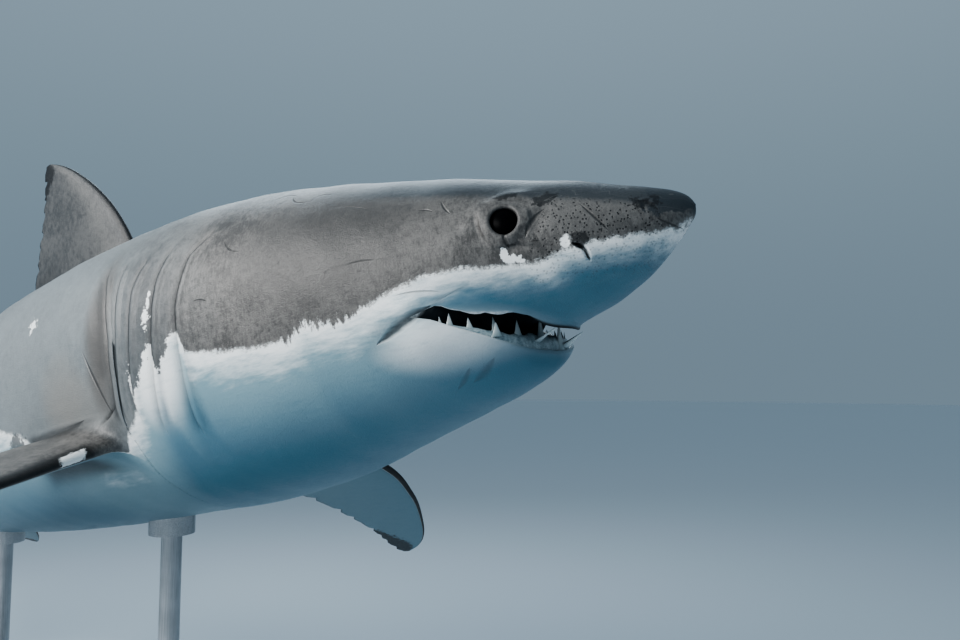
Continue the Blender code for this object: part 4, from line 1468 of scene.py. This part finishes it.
def paint_finish(look):
    """Satin paint with faint roller texture and dust on top."""
    material, shader, start = new_material("stand_paint")
    here = start.coordinates("Object")
    roller = here.noise(320.0, 3.0, 0.6)
    cloud = here.noise(3.0, 4.0)
    colour = (cloud.rise(0.35, 0.7) * 0.5).between(look.paint, look.paint_worn)
    normal = bump(start, roller, 0.12, 0.0006)
    connect(shader, Base_Color=colour, Roughness=0.38 + cloud * 0.14, Normal=normal)
    return material


def steel_finish(look, name, stretch):
    """Brushed steel, its grain drawn out along one way."""
    material, shader, start = new_material(name)
    here = start.coordinates("Object")
    grain = here.scaled(*stretch).noise(1.0, 5.0, 0.6)
    cloud = here.noise(9.0, 3.0)
    colour = (grain * 0.6 + cloud * 0.4).rise(0.3, 0.7).between(look.steel_dark, look.steel)
    normal = bump(start, grain, 0.15, 0.0003)
    connect(shader, Base_Color=colour, Roughness=0.24 + grain * 0.16 + cloud * 0.06,
            Metallic=1.0, Normal=normal)
    return material


def stage_finish(look):
    """Plain pale floor."""
    material, shader, start = new_material("stage_floor")
    here = start.coordinates("Object")
    cloud = here.noise(0.8, 3.0)
    colour = (cloud * 0.06).between(look.floor, look.floor_shade)
    connect(shader, Base_Color=colour, Roughness=0.75, Specular_IOR_Level=0.2)
    return material


# Settings ---------------------------------------------------------------------
def amount_setting(name, description, default, top, least=0.0, **kind):
    """A setting that is a number."""
    return bpy.props.FloatProperty(name=name, description=description, default=default,
                                   min=least, max=top, **kind)


def colour_setting(name, description, *value):
    """A setting that is a colour."""
    return bpy.props.FloatVectorProperty(
        name=name, description=description, subtype="COLOR", size=4, min=0.0, max=1.0,
        default=(*value, 1.0))


class SharkSkinLook(bpy.types.PropertyGroup):
    """Colours and relief of the skin."""

    back_light: colour_setting("Back, light", "Lighter patches of the back", 0.205, 0.196, 0.187)
    # partly the skin's tone, partly painted light: paler and cooler grey behind the gills
    back_dark: colour_setting("Back, dark", "Darker patches of the back", 0.092, 0.089, 0.087)
    rear: colour_setting("Back, behind the gills", "Paler, cooler grey", 0.285, 0.315, 0.33)
    crown: colour_setting("Crown", "Top of the head and tip of the snout", 0.045, 0.056, 0.066)
    # pale tone of the fins' bands and of scratches, and the colour of the painted sheen
    brown: colour_setting("Shoulder", "Brown shade behind the gills", 0.115, 0.095, 0.082)
    pale_tone_and_sheen: colour_setting("Fin band", "Paler band along the front of a fin", 0.30, 0.29, 0.275)
    belly: colour_setting("Belly", "White next to the grey", 0.93, 0.94, 0.93)
    # painted shade: the belly's white as it looks lower down, darker and bluer
    belly_shade: colour_setting("Belly, lower", "White further down", 0.27, 0.40, 0.45)
    # painted shade: the underside's white as it looks in shade, dark and blue
    underside_shade: colour_setting("Underside", "Cooler white underneath", 0.08, 0.20, 0.28)
    # dark of pores, marks and rims, also the colour of painted shade in creases, folds and fin
    # roots
    dark: colour_setting("Marks", "Pores, creases and rims", 0.018, 0.019, 0.021)
    # painted shade: the inside of the mouth, nearly black
    lining: colour_setting("Mouth lining", "Inside of the mouth", 0.012, 0.022, 0.028)
    ragged: amount_setting(
        "Ragged edge", "Height of the strokes between grey and white", 0.55, 2.0)
    grain: amount_setting(
        "Grain", "Strength of the skin's fine relief", 0.45, 1.0, subtype="FACTOR")


class SharkMouthLook(bpy.types.PropertyGroup):
    """Eyes, gums and teeth."""

    eye: colour_setting("Eye", "Black of the eye", 0.004, 0.004, 0.005)
    eye_rim: colour_setting("Eye rim", "Paler rim of the eye", 0.10, 0.11, 0.12)
    tooth: colour_setting("Tooth", "Ivory of the teeth", 0.62, 0.68, 0.68)
    tooth_root: colour_setting("Tooth root", "Tooth next to the gum", 0.30, 0.38, 0.40)
    gum: colour_setting("Gum", "Lighter gum", 0.52, 0.60, 0.62)
    # painted shade in the gum's hollows
    gum_dark: colour_setting("Gum, dark", "Hollows of the gum", 0.20, 0.29, 0.33)
    tooth_size: amount_setting(
        "Tooth size", "Scale of every tooth", 1.0, 2.0, least=0.5, subtype="FACTOR")
    tooth_waist: amount_setting(
        "Tooth waist", "How much the sides of a tooth hollow inwards", 0.16, 0.9,
        subtype="FACTOR")


class SharkStandLook(bpy.types.PropertyGroup):
    """Finishes of the display stand."""

    paint: colour_setting("Paint", "Base board", 0.030, 0.032, 0.036)
    paint_worn: colour_setting("Paint, dusty", "Dusty parts of the board", 0.060, 0.062, 0.066)
    steel: colour_setting("Steel", "Bright grain", 0.62, 0.63, 0.64)
    steel_dark: colour_setting("Steel, dark", "Dark grain", 0.36, 0.37, 0.38)


class SharkStageLook(bpy.types.PropertyGroup):
    """Floor and light."""

    floor: colour_setting("Floor", "Pale floor", 0.62, 0.66, 0.70)
    floor_shade: colour_setting("Floor, shade", "Faint variation", 0.54, 0.58, 0.62)
    sky: colour_setting("Surround", "Soft light from above", 0.62, 0.80, 0.94)
    sky_low: colour_setting("Surround, low", "Soft light from the level", 0.40, 0.53, 0.64)
    sky_strength: amount_setting(
        "Surround strength", "Strength of the soft light all round", 0.42, 5.0)
    key_power: amount_setting(
        "Key light", "Power of the large light overhead", 178.0, 5000.0, unit="POWER")
    back_power: amount_setting(
        "Back light", "Power of the light behind the back", 50.0, 5000.0, unit="POWER")


# Pieces -----------------------------------------------------------------------
FLESH_NODES = (
    "head", "lower_jaw", "gill_region", "trunk_front", "trunk_rear", "tail_stock",
    "caudal_fin_upper", "caudal_fin_lower", "dorsal_fin_first", "dorsal_fin_second",
    "anal_fin", "pectoral_fin_left", "pectoral_fin_right", "pelvic_fin_left",
    "pelvic_fin_right",
)


class SHARK_OT_skin(bpy.types.Operator):
    """Make the skin over the body and all fins"""

    bl_idname = "shark.skin"
    bl_label = "Skin"

    def execute(self, context):
        angle = column_angles()
        skin = SkinBuilder()
        make_body(skin, angle)
        for side in (1, -1):
            make_opening(skin, angle, EYE_PLACE, side, EYE_REACH, eye_outline, EYE_ROWS)
            make_opening(skin, angle, NOSTRIL_PLACE, side, NOSTRIL_REACH, nostril_outline,
                         NOSTRIL_ROWS)
        make_fins(skin, angle)
        make_tail(skin, angle)
        make_mouth(skin, angle)
        fill_grid(skin)
        piece = new_piece("skin", skin.mesh("skin"))
        piece.data.materials.append(skin_finish(context.scene.shark_skin))
        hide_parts(*FLESH_NODES)
        return {"FINISHED"}


# An eyeball: half length and half height, half depth, and how far it lies under the skin
EYE_SIZE, EYE_DEPTH, EYE_SINK = (0.60, 0.72), 0.44, 0.32
EYE_SIDES, EYE_RINGS = 48, 24


def eyeball(name, side):
    """An oval ball in the socket on one side, +1 on the right."""
    at, angle = np.array(EYE_PLACE[0]), np.array(side * side_angle(*EYE_PLACE))
    normal = body_normal(at, angle)
    centre = body_point(at, angle) - normal * EYE_SINK
    first = unit(np.cross(normal, [0, 0, 1.0]))
    second = np.cross(normal, first)
    shape = SkinBuilder()
    turn = np.arange(EYE_SIDES) * 2 * math.pi / EYE_SIDES
    pole = shape.add([centre + normal * EYE_DEPTH])
    previous = np.repeat(pole, EYE_SIDES)
    for k in range(1, EYE_RINGS):
        tilt = math.pi * k / EYE_RINGS
        ring = (centre + normal * EYE_DEPTH * math.cos(tilt) + math.sin(tilt)
                * (EYE_SIZE[0] * np.cos(turn)[:, None] * first
                   + EYE_SIZE[1] * np.sin(turn)[:, None] * second))
        front = 1.0 if k < EYE_RINGS / 2 else -1.0
        row = shape.add(ring, share=math.sin(tilt) * front)
        shape.strip(previous, row)
        previous = row
    pole = shape.add([centre - normal * EYE_DEPTH])
    shape.strip(previous, np.repeat(pole, EYE_SIDES))
    return shape.mesh(name)


class SHARK_OT_eyes(bpy.types.Operator):
    """Make both eyes"""

    bl_idname = "shark.eyes"
    bl_label = "Eyes"

    def execute(self, context):
        finish = eye_finish(context.scene.shark_mouth)
        for name, side in (("left", -1), ("right", 1)):
            piece = new_piece("eyeball_" + name, eyeball("eyeball_" + name, side))
            piece.data.materials.append(finish)
            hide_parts("eye_" + name)
        return {"FINISHED"}


# The gum at the front of the jaw: how far inside the lip and above it its middle is, and
# half its width and height; then how it tapers and swells on its way back
GUM_INSET, GUM_RISE, GUM_HALF_WIDTH, GUM_HALF_HEIGHT = 0.36, 0.26, 0.24, 0.54
GUM_TAPER, GUM_TAPER_POWER, GUM_LEAST = 0.42, 0.9, 0.04
GUM_LUMPS, GUM_LUMP_LENGTH, GUM_SIDES = 0.10, 1.1, 20
TOOTH_INSET, TOOTH_LINE = 0.32, 0.64    # the line that the teeth stand on


class SHARK_OT_gums(bpy.types.Operator):
    """Make the gum along the lower jaw"""

    bl_idname = "shark.gums"
    bl_label = "Gums"

    def execute(self, context):
        mesh = tube("gums", jaw_path(GUM_INSET, GUM_RISE), GUM_HALF_WIDTH, GUM_HALF_HEIGHT,
                    GUM_SIDES)
        piece = new_piece("gums", mesh)
        piece.data.materials.append(gum_finish(context.scene.shark_mouth))
        return {"FINISHED"}


TOOTH_SIDES, TOOTH_STEPS = 16, 10       # points round a tooth and rows up it
TOOTH_TIP, TOOTH_THICKNESS = 0.02, 0.36     # half its tip and its thickness, of its width


def tooth_tree(material):
    """Geometry Nodes: a flattened cone with hollow sides at each point, facing its own way."""
    tree = bpy.data.node_groups.new("tooth_row", "GeometryNodeTree")
    sockets = tree.interface
    sockets.new_socket("Geometry", in_out="INPUT", socket_type="NodeSocketGeometry")
    sockets.new_socket("Waist", in_out="INPUT", socket_type="NodeSocketFloat")
    sockets.new_socket("Geometry", in_out="OUTPUT", socket_type="NodeSocketGeometry")

    def node(kind, settings=None, links=None):
        """Add a node; returns its first output."""
        made = tree.nodes.new(kind)
        for name, value in (settings or {}).items():
            setattr(made, name, value)
        for key, value in (links or {}).items():
            if hasattr(value, "is_output"):
                tree.links.new(value, made.inputs[key])
            else:
                made.inputs[key].default_value = value
        return made.outputs[0] if made.outputs else None

    def maths(operation, *values):
        """A maths node on outputs or numbers."""
        return node("ShaderNodeMath", {"operation": operation}, dict(enumerate(values)))

    entry = tree.nodes.new("NodeGroupInput").outputs
    cone = node("GeometryNodeMeshCone", {"fill_type": "NGON"},
                {"Vertices": TOOTH_SIDES, "Side Segments": TOOTH_STEPS,
                 "Radius Top": TOOTH_TIP, "Radius Bottom": 0.5, "Depth": 1.0})
    split = tree.nodes.new("ShaderNodeSeparateXYZ")
    tree.links.new(node("GeometryNodeInputPosition"), split.inputs[0])
    x, y, z = (split.outputs[axis] for axis in "XYZ")
    belly = maths("MULTIPLY", maths("SINE", maths("MULTIPLY", z, math.pi)), entry["Waist"])
    hollow = maths("SUBTRACT", 1.0, belly)
    shape = node("ShaderNodeCombineXYZ", None,
                 {0: maths("MULTIPLY", x, hollow), 1: maths("MULTIPLY", y, hollow), 2: z})
    named = node("GeometryNodeStoreNamedAttribute", {"data_type": "FLOAT", "domain": "POINT"},
                 {"Geometry": cone, "Name": "tooth_height", "Value": z})
    tooth = node("GeometryNodeSetPosition", None, {"Geometry": named, "Position": shape})
    kind = {"data_type": "FLOAT_VECTOR"}
    along, lean, size = (node("GeometryNodeInputNamedAttribute", kind, {"Name": name})
                         for name in ("along", "lean", "size"))
    upright_way = node("FunctionNodeAlignRotationToVector", {"axis": "Z"}, {"Vector": lean})
    way = node("FunctionNodeAlignRotationToVector", {"axis": "X", "pivot_axis": "Z"},
               {"Rotation": upright_way, "Vector": along})
    points = node("GeometryNodeMeshToPoints", None, {"Mesh": entry["Geometry"]})
    teeth = node("GeometryNodeInstanceOnPoints", None,
                 {"Points": points, "Instance": tooth, "Rotation": way, "Scale": size})
    real = node("GeometryNodeRealizeInstances", None, {"Geometry": teeth})
    smooth = node("GeometryNodeSetShadeSmooth", None, {"Geometry": real})
    finish = node("GeometryNodeSetMaterial", None, {"Geometry": smooth, "Material": material})
    node("NodeGroupOutput", None, {0: finish})
    return tree


TOOTH_SUNK = 0.006                      # m of each tooth inside the gum
# Lower teeth: metres from the chin along the gum, height and width above it, how far they
# lean outwards and along the gum, how far they stand out from the row, and below its top
TEETH = (
    (-0.250, 0.010, 0.010, 0.05, 0.0, 0.0, 0.0),
    (-0.214, 0.020, 0.018, 0.05, 0.1, 0.0, 0.0),
    (-0.179, 0.019, 0.019, 0.05, 0.0, 0.0, 0.0),
    (-0.130, 0.030, 0.022, 0.05, 0.0, -0.003, 0.0),
    (-0.133, 0.020, 0.026, 0.15, 0.0, 0.006, 0.003),
    (-0.074, 0.030, 0.034, 0.12, 0.0, 0.0, 0.0),
    (0.008, 0.050, 0.032, 0.10, 0.1, 0.0, 0.0),
    (-0.022, 0.047, 0.024, 2.40, 0.4, 0.006, 0.010),
    (0.074, 0.052, 0.044, 0.15, 0.0, 0.004, 0.020),
    (0.092, 0.048, 0.046, 2.30, 0.0, 0.006, 0.014),
    (0.132, 0.016, 0.024, 0.15, 0.0, 0.0, 0.0),
    (0.165, 0.014, 0.020, 0.10, 0.0, 0.0, 0.0),
    (0.195, 0.012, 0.016, 0.10, 0.1, 0.0, 0.0),
    (0.225, 0.010, 0.012, 0.05, 0.0, 0.0, 0.0),
)


def read_along(at, run, values):
    """Vectors read at places along a path from one for each of its points."""
    return np.stack([np.interp(at, run, column) for column in values.T], -1)


def tooth_places(tooth_size):
    """A mesh with a point for each tooth, which carries the tooth's directions and size."""
    metres = place(jaw_path(TOOTH_INSET, TOOTH_LINE))
    run = run_along(metres)
    offsets, lengths, widths, splay, skew, step, drop = np.array(TEETH).T
    at = run[-1] / 2 + offsets
    feet = read_along(at, run, metres)
    along = unit(read_along(at, run, np.gradient(metres, axis=0)))
    up = unit(place([0, 0, 1.0]) - place([0, 0, 0.0]))
    out = np.cross(along, up)
    out *= np.sign(np.sum(out * (feet - metres.mean(0)), axis=1, keepdims=True))
    lean = unit(up + out * splay[:, None] + along * skew[:, None])
    widths = widths * tooth_size
    size = np.stack((widths, TOOTH_THICKNESS * widths, lengths * tooth_size + TOOTH_SUNK), -1)
    feet = feet + out * step[:, None] - up * drop[:, None]
    mesh = bpy.data.meshes.new("tooth_places")
    mesh.from_pydata((feet - lean * TOOTH_SUNK).tolist(), [], [])
    for name, values in (("along", along), ("lean", lean), ("size", size)):
        attribute = mesh.attributes.new(name, "FLOAT_VECTOR", "POINT")
        attribute.data.foreach_set("vector", values.astype(np.float32).ravel())
    return mesh


class SHARK_OT_teeth(bpy.types.Operator):
    """Make the lower teeth along the gum"""

    bl_idname = "shark.teeth"
    bl_label = "Teeth"

    def execute(self, context):
        look = context.scene.shark_mouth
        holder = bpy.data.objects.new("tooth_places", tooth_places(look.tooth_size))
        context.scene.collection.objects.link(holder)
        modifier = holder.modifiers.new("teeth", "NODES")
        modifier.node_group = tooth_tree(tooth_finish(look))
        for item in modifier.node_group.interface.items_tree:
            if item.name == "Waist":
                modifier[item.identifier] = look.tooth_waist
        context.view_layer.update()
        evaluated = holder.evaluated_get(context.evaluated_depsgraph_get())
        result = bpy.data.meshes.new_from_object(evaluated)
        if not result.polygons:
            raise RuntimeError("the row of teeth came out empty")
        result.name = "teeth"
        bpy.data.objects.remove(holder)
        new_piece("teeth", result)
        return {"FINISHED"}


class SHARK_OT_stand(bpy.types.Operator):
    """Give the display stand its finishes"""

    bl_idname = "shark.stand"
    bl_label = "Stand"

    def execute(self, context):
        look = context.scene.shark_stand
        finishes = {
            "stand_base": paint_finish(look),
            "stand_rod": steel_finish(look, "steel_rod", (900.0, 900.0, 12.0)),
            "stand_flange": steel_finish(look, "steel_flange", (60.0, 700.0, 700.0)),
            "stand_saddle": steel_finish(look, "steel_saddle", (400.0, 400.0, 400.0)),
        }
        for name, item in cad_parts.items():
            for start, material in finishes.items():
                if name.startswith(start):
                    item.data.materials.clear()
                    item.data.materials.append(material)
        return {"FINISHED"}


FLOOR_RADIUS, FLOOR_SIDES = 40.0, 96
# The large light overhead and the one behind the back: place, size and colour
KEY_LIGHT = ((-0.3, -3.3, 3.4), (4.0, 1.8), (1.0, 0.985, 0.96))
BACK_LIGHT = ((-1.2, 2.4, 4.2), (3.6, 1.6), (0.80, 0.92, 1.0))
LIT_PLACE = (20.0, 0.0, 0.0)            # the body's middle, that both shine at
SKY_TOP = 0.75                          # how high the surround reaches its upper colour
CAMERA_POSITION = (2.1755, -1.2006, 1.3215)
CAMERA_TURN = (math.radians(94.31), 0.0, math.radians(32.64))
CAMERA_LENS, CAMERA_SENSOR = 28.1, 36.0     # mm


def area_light(name, place_at, size, colour, power):
    """A large soft light that shines at the body's middle."""
    light = bpy.data.lights.new(name, "AREA")
    light.shape = "RECTANGLE"
    light.size, light.size_y = size
    light.energy = power
    light.color = colour
    item = bpy.data.objects.new(name, light)
    item.location = place_at
    way = Vector(place(LIT_PLACE)) - item.location
    item.rotation_euler = way.to_track_quat("-Z", "Y").to_euler()
    bpy.context.scene.collection.objects.link(item)


class SHARK_OT_stage(bpy.types.Operator):
    """Make the pale floor, the soft light and the camera"""

    bl_idname = "shark.stage"
    bl_label = "Stage"

    def execute(self, context):
        look = context.scene.shark_stage
        shape = bmesh.new()
        bmesh.ops.create_circle(shape, cap_ends=True, segments=FLOOR_SIDES,
                                radius=FLOOR_RADIUS)
        mesh = bpy.data.meshes.new("floor")
        shape.to_mesh(mesh)
        shape.free()
        floor = bpy.data.objects.new("floor", mesh)
        context.scene.collection.objects.link(floor)
        mesh.materials.append(stage_finish(look))
        area_light("key_light", *KEY_LIGHT, look.key_power)
        area_light("back_light", *BACK_LIGHT, look.back_power)
        world = bpy.data.worlds.new("surround")
        world.use_nodes = True
        background = world.node_tree.nodes["Background"]
        way = Wire(world.node_tree).coordinates("Generated")
        height = way.part("Z").rise(0.0, SKY_TOP)
        connect(background, Color=height.between(look.sky_low, look.sky),
                Strength=look.sky_strength)
        context.scene.world = world
        camera = bpy.data.cameras.new("camera")
        camera.lens, camera.sensor_width = CAMERA_LENS, CAMERA_SENSOR
        item = bpy.data.objects.new("camera", camera)
        item.location = CAMERA_POSITION
        item.rotation_euler = CAMERA_TURN
        context.scene.collection.objects.link(item)
        context.scene.camera = item
        context.scene.view_settings.look = "AgX - High Contrast"
        return {"FINISHED"}


class SHARK_PT_panel(bpy.types.Panel):
    """The model's pieces and settings"""

    bl_label = "Great white shark"
    bl_idname = "SHARK_PT_panel"
    bl_space_type = "VIEW_3D"
    bl_region_type = "UI"
    bl_category = "Shark"

    def draw(self, context):
        for operator in OPERATORS:
            self.layout.operator(operator.bl_idname)
        for name in SETTINGS:
            box = self.layout.box()
            box.label(text=name.replace("_", " ").capitalize())
            settings = getattr(context.scene, name)
            for key in settings.__annotations__:
                box.prop(settings, key)


SETTINGS = {
    "shark_skin": SharkSkinLook,
    "shark_mouth": SharkMouthLook,
    "shark_stand": SharkStandLook,
    "shark_stage": SharkStageLook,
}
OPERATORS = (SHARK_OT_skin, SHARK_OT_eyes, SHARK_OT_gums, SHARK_OT_teeth, SHARK_OT_stand,
             SHARK_OT_stage)
CLASSES = (*SETTINGS.values(), *OPERATORS, SHARK_PT_panel)


def register():
    """Register the classes and the settings."""
    for item in CLASSES:
        bpy.utils.register_class(item)
    for name, group in SETTINGS.items():
        setattr(bpy.types.Scene, name, bpy.props.PointerProperty(type=group))


def unregister():
    """Take them away again."""
    for name in SETTINGS:
        delattr(bpy.types.Scene, name)
    for item in reversed(CLASSES):
        bpy.utils.unregister_class(item)


def main():
    """Make every piece in order."""
    register()
    for piece in ("skin", "eyes", "gums", "teeth", "stand", "stage"):
        getattr(bpy.ops.shark, piece)()


if __name__ == "__main__":
    main()
